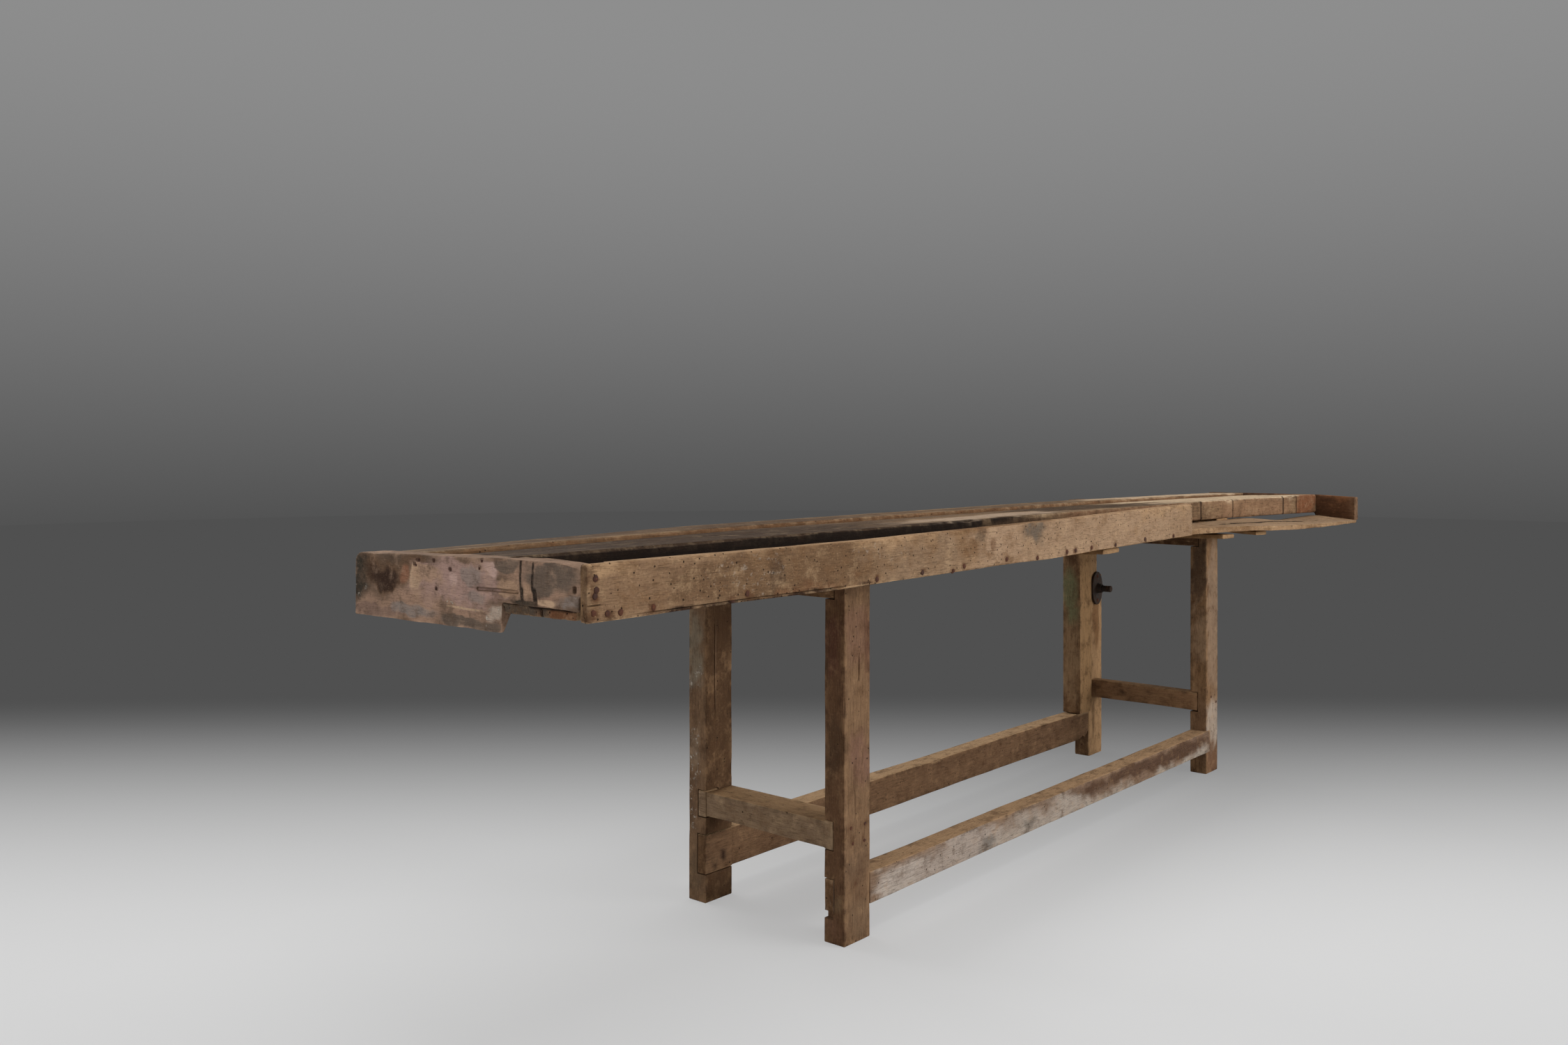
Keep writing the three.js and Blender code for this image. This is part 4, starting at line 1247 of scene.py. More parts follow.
front_leg = leg_box("leg_front_left", PLANK_BOTTOM)
base_board(
    "leg_front_left", *front_leg, ALONG_Z, 22,
    cuts=[front_lap, rail_left, housing(bearer_left, PLANK_BOTTOM)],
    splits=[split_seen("leg_front_left", ALONG_Z, ACROSS_Y, -1, *FRONT_SPLIT)],
    stains=[
        # The face towards the tray is darker: its own colour, with the shade under the bench painted in.
        over_face("leg_front_left", TO_TRAY, (78, 57, 40), 0.85),
        over_face("leg_front_left", TO_LEFT, (96, 75, 57), 0.75),
        *stains_on(ACROSS_X, front_leg[0].x, FRONT_SIDE),
    ],
    flecks=flecks_on(ACROSS_X, front_leg[0].x, FRONT_FLECKS),
)

# %% Near right leg
RIGHT_NAILS = ((1738, 1000), (1745, 1007))
RIGHT_NAIL = 0.004
RIGHT_OUTER = (
    ((1732, 780), (1750, 1000), (140, 117, 96), 0.7),
    ((1732, 1005), (1750, 1068), (168, 152, 136), 0.8),
    ((1732, 1072), (1750, 1106), (110, 80, 60), 0.8),
)
RIGHT_SIDE = (
    ((1709, 780), (1735, 860), (68, 53, 41), 0.8),
    ((1709, 870), (1735, 960), (118, 95, 73), 0.8),
    ((1709, 980), (1735, 1108), (96, 73, 54), 0.8),
)

right_leg = leg_box("leg_back_right", UNDER_TRAY)
near_right = base_board(
    "leg_back_right", *right_leg, ALONG_Z, 23,
    cuts=[rail_right, housing(bearer_right, UNDER_TRAY)],
    stains=[
        *stains_on(ACROSS_Y, right_leg[0].y, RIGHT_OUTER),
        *stains_on(ACROSS_X, right_leg[0].x, RIGHT_SIDE),
    ],
)
drive(near_right, RIGHT_NAILS, ACROSS_Y, right_leg[0].y, RIGHT_NAIL)

# %% Leg and post of the vise
POST_SIDE = (
    ((1523, 800), (1551, 1022), (114, 91, 67), 0.75),
    ((1524, 815), (1548, 900), (82, 86, 61), 0.75),
    ((1545, 830), (1551, 870), (60, 36, 22), 0.7),
)
VISE_OUTER = (
    ((1568, 845), (1576, 930), (112, 76, 46), 0.7),
    ((1567, 1010), (1571, 1060), (96, 70, 48), 0.6),
)

base_board(
    "vise_leg_post", *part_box("vise_leg_post"), ALONG_Z, 24,
    stains=[
        over_face("vise_leg_post", TO_TRAY, (172, 136, 96), 0.8),
        *stains_on(ACROSS_X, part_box("vise_leg_post")[0].x, POST_SIDE),
    ],
)
dressed(
    reworked("leg_front_right", voxel=0.0035, depth=0.0008, wave=0.06, seed=31),
    "leg_front_right", ALONG_Z, 31, base_finish,
    stains=[
        over_face("leg_front_right", TO_TRAY, (176, 140, 102), 0.85),
        *stains_on(ACROSS_Y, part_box("leg_front_right")[0].y, VISE_OUTER),
    ],
)

# %% [markdown]
# ## Rails, stretchers and bearers
# The left rail is a thick slab with a thinner tongue into each leg, and the right one a plain board.
# Both were left waney underneath. Of the long stretchers, the near one still wears limewash on its
# outer face, worn off towards the right but for its lower edge, and the far one has lost a corner at
# its right end. Slab and tongues could be one notched block, but each has its own worn edges. So they
# are made as boards of their own and joined into one piece.

# %% End rails
RAIL_DEPTH = 0.080  # how far the left rail's body reaches between the legs, behind its tongues
RAIL_DRIPS = (
    ((1601, 978), (1605, 994), (44, 32, 24), 0.9),
    ((1611, 979), (1615, 1000), (44, 32, 24), 0.9),
    ((1644, 985), (1648, 992), (60, 42, 30), 0.7),
    ((1700, 995), (1722, 1018), (110, 82, 58), 0.6),
)
TONGUE_ARRIS = 0.001


def left_rail():
    """The thick left rail: a body between the legs and a tongue into each of them."""
    low, high = rail_left
    ends = near_leg[1].y, front_leg[0].y
    body = worn_board(
        "worn_end_rail_left", (low.x, ends[0], low.z), (low.x + RAIL_DEPTH, ends[1], high.z), ALONG_Y, 25,
        arris=CRISP, bow=0.002, waney=(0, -1, 0.007),
    )
    tongues = [
        worn_board("tongue", low, (high.x, ends[0], high.z), ALONG_Y, 35, arris=TONGUE_ARRIS, bow=0),
        worn_board("tongue", (low.x, ends[1], low.z), high, ALONG_Y, 36, arris=TONGUE_ARRIS, bow=0),
    ]
    stains = [
        over_face("end_rail_left", TO_LEFT, (102, 84, 67), 0.7),
        over_face("end_rail_left", UP, (176, 142, 104), 0.75),
    ]
    rail = joined(body, *tongues)
    return dressed(rail, "end_rail_left", ALONG_Y, 25, rail_finish, stains=stains)


left_rail()
base_board(
    "end_rail_right", *rail_right, ALONG_Y, 26, waney=(0, -1, 0.003),
    stains=[
        over_face("end_rail_right", TO_LEFT, (112, 84, 60), 0.75),
        over_face("end_rail_right", UP, (172, 138, 102), 0.75),
        *stains_on(ACROSS_X, rail_right[0].x, RAIL_DRIPS),
    ],
)

# %% Stretchers
LIME_PATCHES = (
    ((1540, 1132), (1740, 1068), (84, 62, 48), 0.95),
    ((1250, 1250), (1330, 1300), (176, 163, 151), 0.95),
    ((1310, 1215), (1440, 1270), (164, 150, 138), 0.95),
    ((1420, 1180), (1560, 1215), (164, 151, 138), 0.95),
    ((1540, 1155), (1632, 1172), (166, 154, 140), 0.9),
    ((1652, 1108), (1692, 1128), (164, 152, 138), 0.9),
    ((1690, 1088), (1738, 1106), (170, 158, 144), 0.9),
    ((1405, 1208), (1425, 1228), (104, 98, 92), 0.7),
    ((1470, 1176), (1484, 1190), (100, 92, 84), 0.7),
)
LIME_FLECKS = (((1250, 1300), (1560, 1160)),)
LIME_COVER = 0.55
TORN_CORNER = (0.07, 0.026)  # length and height
TORN_FIBRES = ((0.012, 0.012, 5), (0.012, 0.035, 6))  # depth, wave and seed
LAP_ARRIS = 0.0012
KNOTS = (((1032, 1222), (1042, 1238), (40, 27, 20), 0.9), ((1020, 1232), (1028, 1244), (48, 33, 24), 0.8))


def torn(place, end, bottom, length, height):
    """Tears the lower corner off the right end, with a ragged slope."""
    rags = sum(depth * uneven(place / wave, seed) for depth, wave, seed in TORN_FIBRES)
    slope = bottom + height * np.clip((place[:, 0] - end + length) / length, 0, 1) + rags
    lost = place[:, 0] > end - length
    place[:, 2] = np.where(lost, np.maximum(place[:, 2], slope), place[:, 2])


def stretcher(node, leg, lap, seed, face, top, patches, flecks=(), broken=None):
    """A long bar, and the tongue that laps through the left leg."""
    low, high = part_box(node)
    low.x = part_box(leg)[1].x
    bar = worn_board(
        "worn_" + node, low, high, ALONG_X, seed,
        arris=CRISP, fine=0.008, bow=0.003, waney=(1, 1, 0.002),
    )
    tongue = worn_board("tongue", *lap, ALONG_X, seed + 40, arris=LAP_ARRIS, bow=0)
    if broken:
        reshaped(bar, torn, high.x, low.z, *broken)
    stains = [over_face(node, TO_TRAY, face, 0.7), over_face(node, UP, top, 0.75)]
    stains += stains_on(ACROSS_Y, low.y, patches)
    bar = joined(bar, tongue)
    dressed(bar, node, ALONG_X, seed, base_finish, stains=stains, flecks=flecks)


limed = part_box("stretcher_back")[0].y
stretcher(
    "stretcher_back", "leg_back_left", back_lap, 27, (128, 106, 90), (172, 140, 106), LIME_PATCHES,
    flecks=flecks_on(ACROSS_Y, limed, LIME_FLECKS, LIME_COVER),
)
stretcher(
    "stretcher_front", "leg_front_left", front_lap, 28, (110, 84, 63), (182, 150, 114), KNOTS,
    broken=TORN_CORNER,
)

# %% Bearers
for node, seed, box in (("bearer_left", 32, bearer_left), ("bearer_right", 33, bearer_right)):
    piece = worn_board("worn_" + node, *box, ALONG_Y, seed, arris=CRISP, bow=0)
    dressed(piece, node, ALONG_Y, seed, base_finish)

# %% [markdown]
# ## The plank top
# Two thick planks. The rear one has cupped: it stands highest along the tray and lowest against the
# front plank, whose edge shows there as a brown step. It also gets thicker towards its right end. Long
# splits run in from the left end, and a saw has nicked its edge. Oil and dirt have turned that edge
# black where it forms the wall of the tray, and the shade inside the tray is painted into that black,
# as it is in the saw cuts. The cup could be part of the lofted section, but the end boards follow the
# same droop. So both planks are lofted straight and laid afterwards.

# %% Planks
PLANK_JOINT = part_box("front_plank")[0].y
CUP = 0.005
FRONT_TILT = 0.004
PLANK_SWELL = 0.008  # how much thicker the rear plank gets towards its right end
TOP_SIDE = (1, 1)  # of a plank's section, for splits
STEP_LEVEL, FRONT_LEVEL = 0.79, 0.8  # heights of the step at the joint, and of the front plank's top


def lie_of_rear_plank(place):
    """Cupped across, and swelling downwards to the right."""
    low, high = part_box("rear_plank")
    t = ramp(place[:, 1], PLANK_BACK, PLANK_JOINT)
    to_right = ramp(place[:, 0], RIGHT_LEGS, RIGHT_END)
    down = ramp(place[:, 2], high.z, low.z)
    return lie_of_top(place) + CUP * (1 - 2 * t) - PLANK_SWELL * to_right * down


def lie_of_front_plank(place):
    """Tilted down to the front."""
    return lie_of_top(place) - FRONT_TILT * ramp(place[:, 1], PLANK_JOINT, FRONT_FACE)


def plank(node, seed, splits, stains, lie, kerfs=()):
    """A thick board of the top, with saw cuts in its edge."""
    made = worn_board("worn_" + node, *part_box(node), ALONG_X, seed, arris=0.005, step=0.012, splits=splits)
    for low, high in kerfs:
        cut(made, low, high, 0)
    return dressed(laid(made, lie), node, ALONG_X, seed, top_finish, stains=stains)


plank(
    "front_plank", 41,
    [Split(TOP_SIDE, 0.012, 0.002, 0.010, -1.1, 0.6), Split(TOP_SIDE, -0.03, 0.0015, 0.008, -1.7, -0.7)],
    [
        Stain((0, PLANK_JOINT, STEP_LEVEL), (2.0, 0.1, 0.1), rgb(104, 74, 50), 0.85, TO_TRAY),
        Stain((-1.0, 0.2, FRONT_LEVEL), (0.9, 0.06, 0.1), rgb(84, 66, 51), 0.7, UP),
        Stain((0.35, 0.2, FRONT_LEVEL), (0.5, 0.06, 0.1), rgb(96, 77, 59), 0.7, UP),
        Stain((1.3, 0.2, FRONT_LEVEL), (0.7, 0.08, 0.1), rgb(186, 162, 134), 0.75, UP),
    ],
    lie_of_front_plank,
)

# %% Rear plank
KERFS = ((0.749, 0.0040), (0.99, 0.0012), (1.43, 0.0026), (1.555, 0.0030))  # place and width
KERF_DEPTH = 0.007
KERF_OUTSIDE = 0.004
KERF_HEIGHTS = (0.70, 0.90)  # below the plank and above it
REAR_LEVEL, EDGE_LEVEL = 0.796, 0.765  # heights of the rear plank's top, and of its edge
# Black of oil and dirt, with the shade that falls inside the tray painted into it.
OIL_AND_SHADE_BLACK = rgb(28, 21, 17)
TRAY_ARRIS = (0, -0.97, 0.24)  # towards the tray, and round the upper arris


def kerf(place, width):
    """The box of a saw cut in the rear plank's edge."""
    bottom, top = KERF_HEIGHTS
    low = Vector((place - width / 2, PLANK_BACK - KERF_OUTSIDE, bottom))
    return low, Vector((place + width / 2, PLANK_BACK + KERF_DEPTH, top))


plank(
    "rear_plank", 42,
    [
        Split(TOP_SIDE, 0.030, 0.003, 0.014, -1.78, -1.05),
        Split(TOP_SIDE, -0.022, 0.002, 0.010, -1.5, -0.75),
        Split(TOP_SIDE, 0.075, 0.0018, 0.010, -0.6, 0.5),
    ],
    [
        # The tray wall of the rear plank: oil and dirt, and painted shade inside the tray, fading out to the
        # right.
        Stain((-1.15, PLANK_BACK, 0.76), (0.80, 0.1, 0.3), OIL_AND_SHADE_BLACK, 1.0, TRAY_ARRIS),
        Stain((-0.25, PLANK_BACK, 0.74), (0.26, 0.1, 0.06), rgb(66, 50, 38), 0.8, TO_TRAY),
        Stain((0.30, PLANK_BACK, EDGE_LEVEL), (0.42, 0.1, 0.1), rgb(112, 82, 60), 0.8, TO_TRAY),
        Stain((1.15, PLANK_BACK, EDGE_LEVEL), (0.40, 0.1, 0.1), rgb(138, 106, 80), 0.7, TO_TRAY),
        Stain((-1.25, 0.0, 0.800), (0.65, 0.2, 0.1), rgb(57, 43, 32), 0.9, UP),
        Stain((-0.45, 0.10, REAR_LEVEL), (0.5, 0.05, 0.1), rgb(92, 74, 58), 0.6, UP),
        Stain((-0.35, -0.05, REAR_LEVEL), (0.35, 0.07, 0.1), rgb(168, 146, 124), 0.75, UP),
        Stain((0.30, 0.02, REAR_LEVEL), (0.36, 0.14, 0.1), rgb(60, 46, 33), 0.9, UP),
        Stain((1.3, 0.0, REAR_LEVEL), (0.75, 0.2, 0.1), rgb(192, 168, 138), 0.8, UP),
        Stain((1.67, PLANK_BACK, EDGE_LEVEL), (0.11, 0.03, 0.06), rgb(112, 72, 48), 0.95),
        # Saw kerfs painted black: painted shade in their hollows.
        *[Stain((x, PLANK_BACK, EDGE_LEVEL), (width, 0.02, 0.2), OIL_AND_SHADE_BLACK, 0.9) for x, width in KERFS],
    ],
    lie_of_rear_plank, [kerf(*place) for place in KERFS],
)

# %% [markdown]
# ## The end cap
# The board across the left end is the most marked piece of all: a burnt corner, pink and cream
# patches where paint has worn through, a grey tide line, two black drips, a crack, and a corner that
# has broken away beside the tray. Its back is pared away below the planks, and its end laps over the
# tray side. A lofted board has no notches or breaks, so the construction's own mesh is used. The breaks
# are cut before remeshing, which rounds their rims, and the bevel and the lap are bent afterwards.

# %% Lie and bevel of the end cap
CAP_TAPER = 0.007  # the far end is less high
CAP_BEVEL = (0.62, 0.05)  # thickness left under the planks, at its top and at its lower edge
CAP_BEVEL_ABOVE = 0.004  # how far it stays whole below the planks
CAP_BEVEL_BESIDE = 0.03  # how far the bevel reaches beyond them
CAP_OVERLAP = 0.012  # how far it laps over the end of the tray side
CAP_STRETCH = 0.05  # over what length it is drawn out for that
CAP_DIP = 0.006  # its upper corner is worn down beside the tray side
CAP_DIP_DEPTH = 0.035
CAP_DIP_CURVE = 1.5
CAP_LOW, CAP_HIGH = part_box("end_cap_left")


def lie_of_cap(place):
    """With the top, and less high towards the front."""
    down = ramp(place[:, 2], CAP_HIGH.z, CAP_LOW.z)
    to_front = ramp(place[:, 1], PLANK_BACK, FRONT_FACE)
    return lie_of_top(place) + CAP_TAPER * down * to_front


def bevelled(place):
    """Pares the cap's back away below the planks, and laps its end over the tray side."""
    depth = PLANK_BOTTOM - CAP_BEVEL_ABOVE + lie_of_cap(place) - place[:, 2]
    share = ramp(depth, 0, PLANK_BOTTOM - CAP_LOW.z)
    left = np.where(depth > 0, CAP_BEVEL[0] + (CAP_BEVEL[1] - CAP_BEVEL[0]) * share, 1)
    left = np.where(place[:, 1] > PLANK_BACK - CAP_BEVEL_BESIDE, left, 1)
    place[:, 0] = LEFT_END + (place[:, 0] - LEFT_END) * left
    to_tray = np.clip((TRAY_INSIDE + CAP_STRETCH - place[:, 1]) / CAP_STRETCH, 0, 1)
    upper = np.clip(1 - (CAP_HIGH.z - place[:, 2]) / CAP_DIP_DEPTH, 0, 1)
    place[:, 1] -= CAP_OVERLAP * to_tray
    place[:, 2] -= CAP_DIP * upper * to_tray**CAP_DIP_CURVE


print("the cap is", round(1000 * (CAP_HIGH.x - CAP_LOW.x), 1), "mm thick at its top")

# %% Marks on the end cap
PINK, PALE_PINK, RED_BROWN = (142, 116, 106), (166, 139, 129), (122, 84, 64)
CREAM, TAN, UMBER, BURNT = (163, 136, 111), (148, 120, 97), (88, 67, 51), (50, 35, 27)
WHITE, GREY, DARK_GREY, SOOT = (160, 145, 131), (116, 105, 98), (90, 77, 67), (48, 43, 36)
DUSK, BLACK = (112, 90, 78), (34, 28, 24)
CAP_STAINS = (
    ((590, 800), (730, 880), PINK, 0.9),
    ((500, 786), (602, 850), UMBER, 0.95),
    ((500, 790), (538, 866), SOOT, 1.0),
    ((532, 804), (578, 846), BURNT, 1.0),
    ((574, 810), (592, 838), RED_BROWN, 0.8),
    ((582, 790), (618, 813), UMBER, 0.8),
    ((592, 814), (606, 852), CREAM, 0.9),
    ((600, 812), (640, 846), TAN, 0.7),
    ((645, 822), (657, 842), PALE_PINK, 0.7),
    ((662, 812), (690, 844), GREY, 0.65),
    ((664, 846), (692, 868), GREY, 0.65),
    ((692, 804), (718, 830), PALE_PINK, 0.75),
    ((712, 802), (752, 824), DARK_GREY, 0.85),
    ((716, 826), (752, 862), TAN, 0.8),
    ((706, 850), (724, 866), UMBER, 0.5),
    ((500, 860), (584, 888), DUSK, 0.95),
    ((566, 862), (628, 890), GREY, 0.85),
    ((634, 867), (692, 879), CREAM, 0.8),
    ((628, 879), (722, 912), DARK_GREY, 1.0),
    ((696, 870), (724, 896), WHITE, 0.7),
    ((752, 800), (840, 858), DARK_GREY, 0.95),
    ((752, 832), (768, 864), TAN, 0.6),
    ((734, 860), (774, 876), SOOT, 0.9),
    ((772, 859), (801, 874), CREAM, 0.95),
    ((800, 855), (836, 877), GREY, 0.9),
    ((745.6, 798), (749.5, 850), BLACK, 1.0),
    ((747.5, 835), (753.5, 878), BLACK, 1.0),
    ((763.0, 798), (767.0, 850), BLACK, 1.0),
    ((765.5, 835), (772.5, 878), BLACK, 1.0),
    ((668, 843.4), (708, 845.6), BLACK, 0.4),
    ((702, 845.6), (744, 848.4), BLACK, 0.4),
)
CAP_HOLES = ((602, 804), (597.5, 811), (622.5, 805), (691.5, 805.5), (688, 816), (647, 818), (625, 845.5))
CAP_FLECKS = (((690, 870), (724, 902)), ((510, 820), (532, 855)), ((634, 862), (692, 880)))
print("marks on the cap:", len(CAP_STAINS) + len(CAP_HOLES) + len(CAP_FLECKS))

# %% End cap
CAP_BREAKS = (  # two opposite corners, and depth
    ((683, 846.2), (744, 848), 0.005),
    ((815, 840), (820, 852), 0.010),
    ((822, 856), (838, 879), 0.022),
)
BREAK_OUTSIDE = 0.01
HOLE_REACH, HOLE_RUST = (0.01, 0.005, 0.004), rgb(58, 36, 29)
CAP_NAIL = 0.0022

cuts = []
for first, last, depth in CAP_BREAKS:
    ends = [seen_on(pixel, ACROSS_X, LEFT_END) for pixel in (first, last)]
    low = Vector((LEFT_END - BREAK_OUTSIDE, min(e.y for e in ends), min(e.z for e in ends)))
    high = Vector((LEFT_END + depth, max(e.y for e in ends), max(e.z for e in ends)))
    cuts.append((low, high))
cap = reworked("end_cap_left", voxel=0.0016, depth=0.0013, wave=0.05, seed=43, cuts=cuts)
reshaped(laid(cap, lie_of_cap), bevelled)
holes = [Stain(seen_on(pixel, ACROSS_X, LEFT_END), HOLE_REACH, HOLE_RUST, 0.9) for pixel in CAP_HOLES]
dressed(
    cap, "end_cap_left", ALONG_Y, 43, cap_finish,
    stains=[
        over_face("end_cap_left", UP, (122, 98, 79), 0.7),
        *stains_on(ACROSS_X, LEFT_END, CAP_STAINS),
        *holes,
    ],
    flecks=flecks_on(ACROSS_X, LEFT_END, CAP_FLECKS),
)
drive(cap, CAP_HOLES, ACROSS_X, LEFT_END, CAP_NAIL)

# %% [markdown]
# ## The right end
# A dark plain board closes the right end, dropped a little at its free corner. Under the planks its
# lower edge is stepped up, so that light shows through below it. The step could be cut with a boolean,
# but its rim would be sharp. So the points below it are moved up instead.

# %% End board
end_low, end_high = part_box("end_board_right")
RUBBED_TOP = 0.012  # how far below its top the board's corner is rubbed


def stepped(place):
    """Steps the lower edge up under the planks."""
    under = place[:, 1] > PLANK_BACK
    level = PLANK_BOTTOM + lie_of_top(place)
    place[:, 2] = np.where(under, np.maximum(place[:, 2], level), place[:, 2])


end_board = worn_board("worn_end_board_right", end_low, end_high, ALONG_Y, 44, step=0.01)
reshaped(laid(end_board, lie_of_top), stepped)
dressed(
    end_board, "end_board_right", ALONG_Y, 44, end_finish,
    stains=[
        Stain((end_low.x, end_low.y, end_high.z - RUBBED_TOP), (0.05, 0.11, 0.014), rgb(112, 74, 48), 0.85),
        Stain((end_low.x, end_low.y, end_low.z), (0.05, 0.035, 0.12), rgb(98, 72, 52), 0.7, TO_LEFT),
        over_face("end_board_right", TO_TRAY, (132, 104, 80), 0.7),
    ],
)

# %% [markdown]
# ## The side of the tool tray
# A single board on edge makes the tray's outer side, dirty and golden at its left end and dry and
# pale at its sawn end. A sliver has sprung off along its lower edge. It is one long board, so it could
# be a plain box with a painted side. But it stands close to the camera, and its cracks and its nails
# are read one by one from the photograph. So it is lofted with more and smaller steps.

# %% Marks on the tray side
TRAY_NAILS = (
    (853.7, 830), (855, 847), (853, 856), (851, 880.6), (871, 880.6), (889.6, 879), (937, 872),
    (1050, 863), (1072, 852), (1258, 832), (1323, 822), (1367, 820), (1383, 813), (1444, 803),
    (1488, 801), (1531, 792), (1543, 790), (1566, 786), (1600, 782), (1642, 774), (1683, 769),
)
TRAY_STAINS = (
    ((830, 800), (1060, 895), (124, 97, 74), 0.85),
    ((960, 780), (1290, 880), (103, 78, 56), 0.85),
    ((1240, 770), (1400, 850), (132, 107, 84), 0.8),
    ((1380, 740), (1720, 830), (153, 126, 101), 0.75),
    ((1412, 745), (1468, 806), (160, 132, 106), 0.7),
    ((1660, 740), (1722, 800), (140, 113, 88), 0.7),
    ((1104, 798), (1130, 840), (82, 62, 46), 0.75),
    ((1060, 850), (1260, 872), (104, 68, 44), 0.5),
    ((1464, 752), (1500, 782), (100, 88, 76), 0.9),
    ((1400, 758), (1412, 778), (104, 84, 66), 0.7),
    ((1420, 775), (1427, 790), (112, 82, 60), 0.7),
    # Painted shade along the crack that runs into the sprung sliver.
    ((1225, 836), (1248, 842), (58, 38, 28), 0.8),
    ((836, 806), (846, 892), (76, 56, 41), 0.85),
)
TRAY_FLECKS = (((1230, 778), (1300, 806)), ((1010, 790), (1140, 835)))
print("nails in the tray side:", len(TRAY_NAILS))

# %% Tray side
NAIL_RADIUS = 0.005
TRAY_CRACKS = (((841, 868), (866, 868), 0.008), ((1196, 846), (1262, 835), 0.006))  # ends, and depth
TRAY_CRACK_WIDTH = 0.0014
SPRUNG_HEIGHT = 0.0045  # of the sliver split off below
SPRUNG_SPAN = (LEFT_END + 0.07, -1.19)
SPRUNG_SPLIT = (0.0009, 0.005)  # width and depth
# Painted shade along the split below the sprung sliver.
SPRUNG_SHADE = (-1.46, 0.27, 1.2)  # its middle, half its length, and its height in slivers
FLECK_COVER = 0.3
LEFT_ARRIS = (-0.7, -0.7, 0)
TO_FRONT = (0, 1, 0)


def crack_in_tray_side(first, last, depth):
    """A split between two pixels, moved to where it lies before the board is bent."""
    split = split_seen("tray_side", ALONG_X, ACROSS_Y, -1, first, last, TRAY_CRACK_WIDTH, depth)
    middle = np.array([[(split.start + split.end) / 2, 0, 0]])
    return split._replace(at=split.at - float(lie_of_tray_side(middle)[0]))


def rebated(place):
    """Thins the left end, where the end cap laps over it."""
    covered = place[:, 0] < LEFT_END + CAP_HIGH.x - CAP_LOW.x
    place[:, 1] = np.where(covered, np.minimum(place[:, 1], TRAY_INSIDE - CAP_OVERLAP), place[:, 1])


side_low, side_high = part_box("tray_side")
side_height = side_high.z - side_low.z
tray_side = worn_board(
    "worn_tray_side", side_low, side_high, ALONG_X, 51, arris=0.004, step=0.005, fine=0.005,
    splits=[
        *[crack_in_tray_side(*crack) for crack in TRAY_CRACKS],
        Split((0, -1), SPRUNG_HEIGHT - side_height / 2, *SPRUNG_SPLIT, *SPRUNG_SPAN),
    ],
)
reshaped(laid(tray_side, lie_of_tray_side), rebated)
sprung_middle, sprung_half, slivers = SPRUNG_SHADE
sprung_reach = (sprung_half, 0.02, SPRUNG_HEIGHT * slivers)
dressed(
    tray_side, "tray_side", ALONG_X, 51, tray_finish,
    stains=[
        *stains_on(ACROSS_Y, BACK_FACE, TRAY_STAINS),
        *rust_round(TRAY_NAILS, ACROSS_Y, BACK_FACE, NAIL_RADIUS),
        Stain((LEFT_END, BACK_FACE, 0.76), (0.013, 0.02, 0.08), rgb(92, 68, 50), 0.9, LEFT_ARRIS),
        # The tray side's inner face: oil and dirt, and painted shade inside the tray.
        Stain((-1.2, TRAY_INSIDE, 0.75), (0.80, 0.1, 0.3), OIL_AND_SHADE_BLACK, 1.0, TO_FRONT),
        # Painted shade: a dark band along the split below the sprung sliver.
        Stain((sprung_middle, BACK_FACE, side_low.z), sprung_reach, rgb(46, 31, 23), 1.0),
    ],
    flecks=flecks_on(ACROSS_Y, BACK_FACE, TRAY_FLECKS, FLECK_COVER),
)
drive(tray_side, TRAY_NAILS, ACROSS_Y, BACK_FACE, NAIL_RADIUS)

# %% [markdown]
# ## The floor of the tray
# Two thin boards are the floor, and three pale cleats carry them. The inner board is tucked in under
# the plank and stands a little proud of the outer one. Rot has eaten into their left ends. To the
# right they run on alone, get thin as a feather and draw in. Each of these could be modelled in a
# drawing of its own, but they fade into each other. So each is a small function that moves points.

# %% Shaping the tray floor
TUCK = 0.018  # how far the inner board reaches in under the plank
TUCK_EDGE = 0.006  # width of the strip that is moved
TUCK_SPAN = (LEFT_END + 0.03, RIGHT_END - 0.05)
RAGGED = (0.007, 0.012, 0.009)  # how deep the left ends have rotted, over what length, and the wave
ROTTEN = 0.3  # more than 0 lets rot take more than half of an end
THIN_FROM, THIN_BY = 1.20, 0.009  # where the floor starts to thin towards its right end, and by how much
END_TAPER = 0.016  # how far its outer edge draws in at that end
BOARD_STEP = (0.0045, 0.60, 1.42)  # how far the inner board stands proud, from where to where
STEP_STEEPNESS = 3
INNER_BOARD, OUTER_BOARD = "tray_board_inner", "tray_board_outer"


def tucked(place):
    """Carries the inner board's edge in under the plank, between the end cap and the end board."""
    inside = (place[:, 0] > TUCK_SPAN[0]) & (place[:, 0] < TUCK_SPAN[1])
    place[:, 1] += TUCK * (inside & (place[:, 1] > PLANK_BACK - TUCK_EDGE))


def ragged(place, seed):
    """Eats into the left end, as rot does."""
    depth, length, wave = RAGGED
    near = np.clip(1 - (place[:, 0] - LEFT_END) / length, 0, 1)
    place[:, 0] += depth * near * np.clip(ROTTEN + uneven(place / wave, seed), 0, 1)


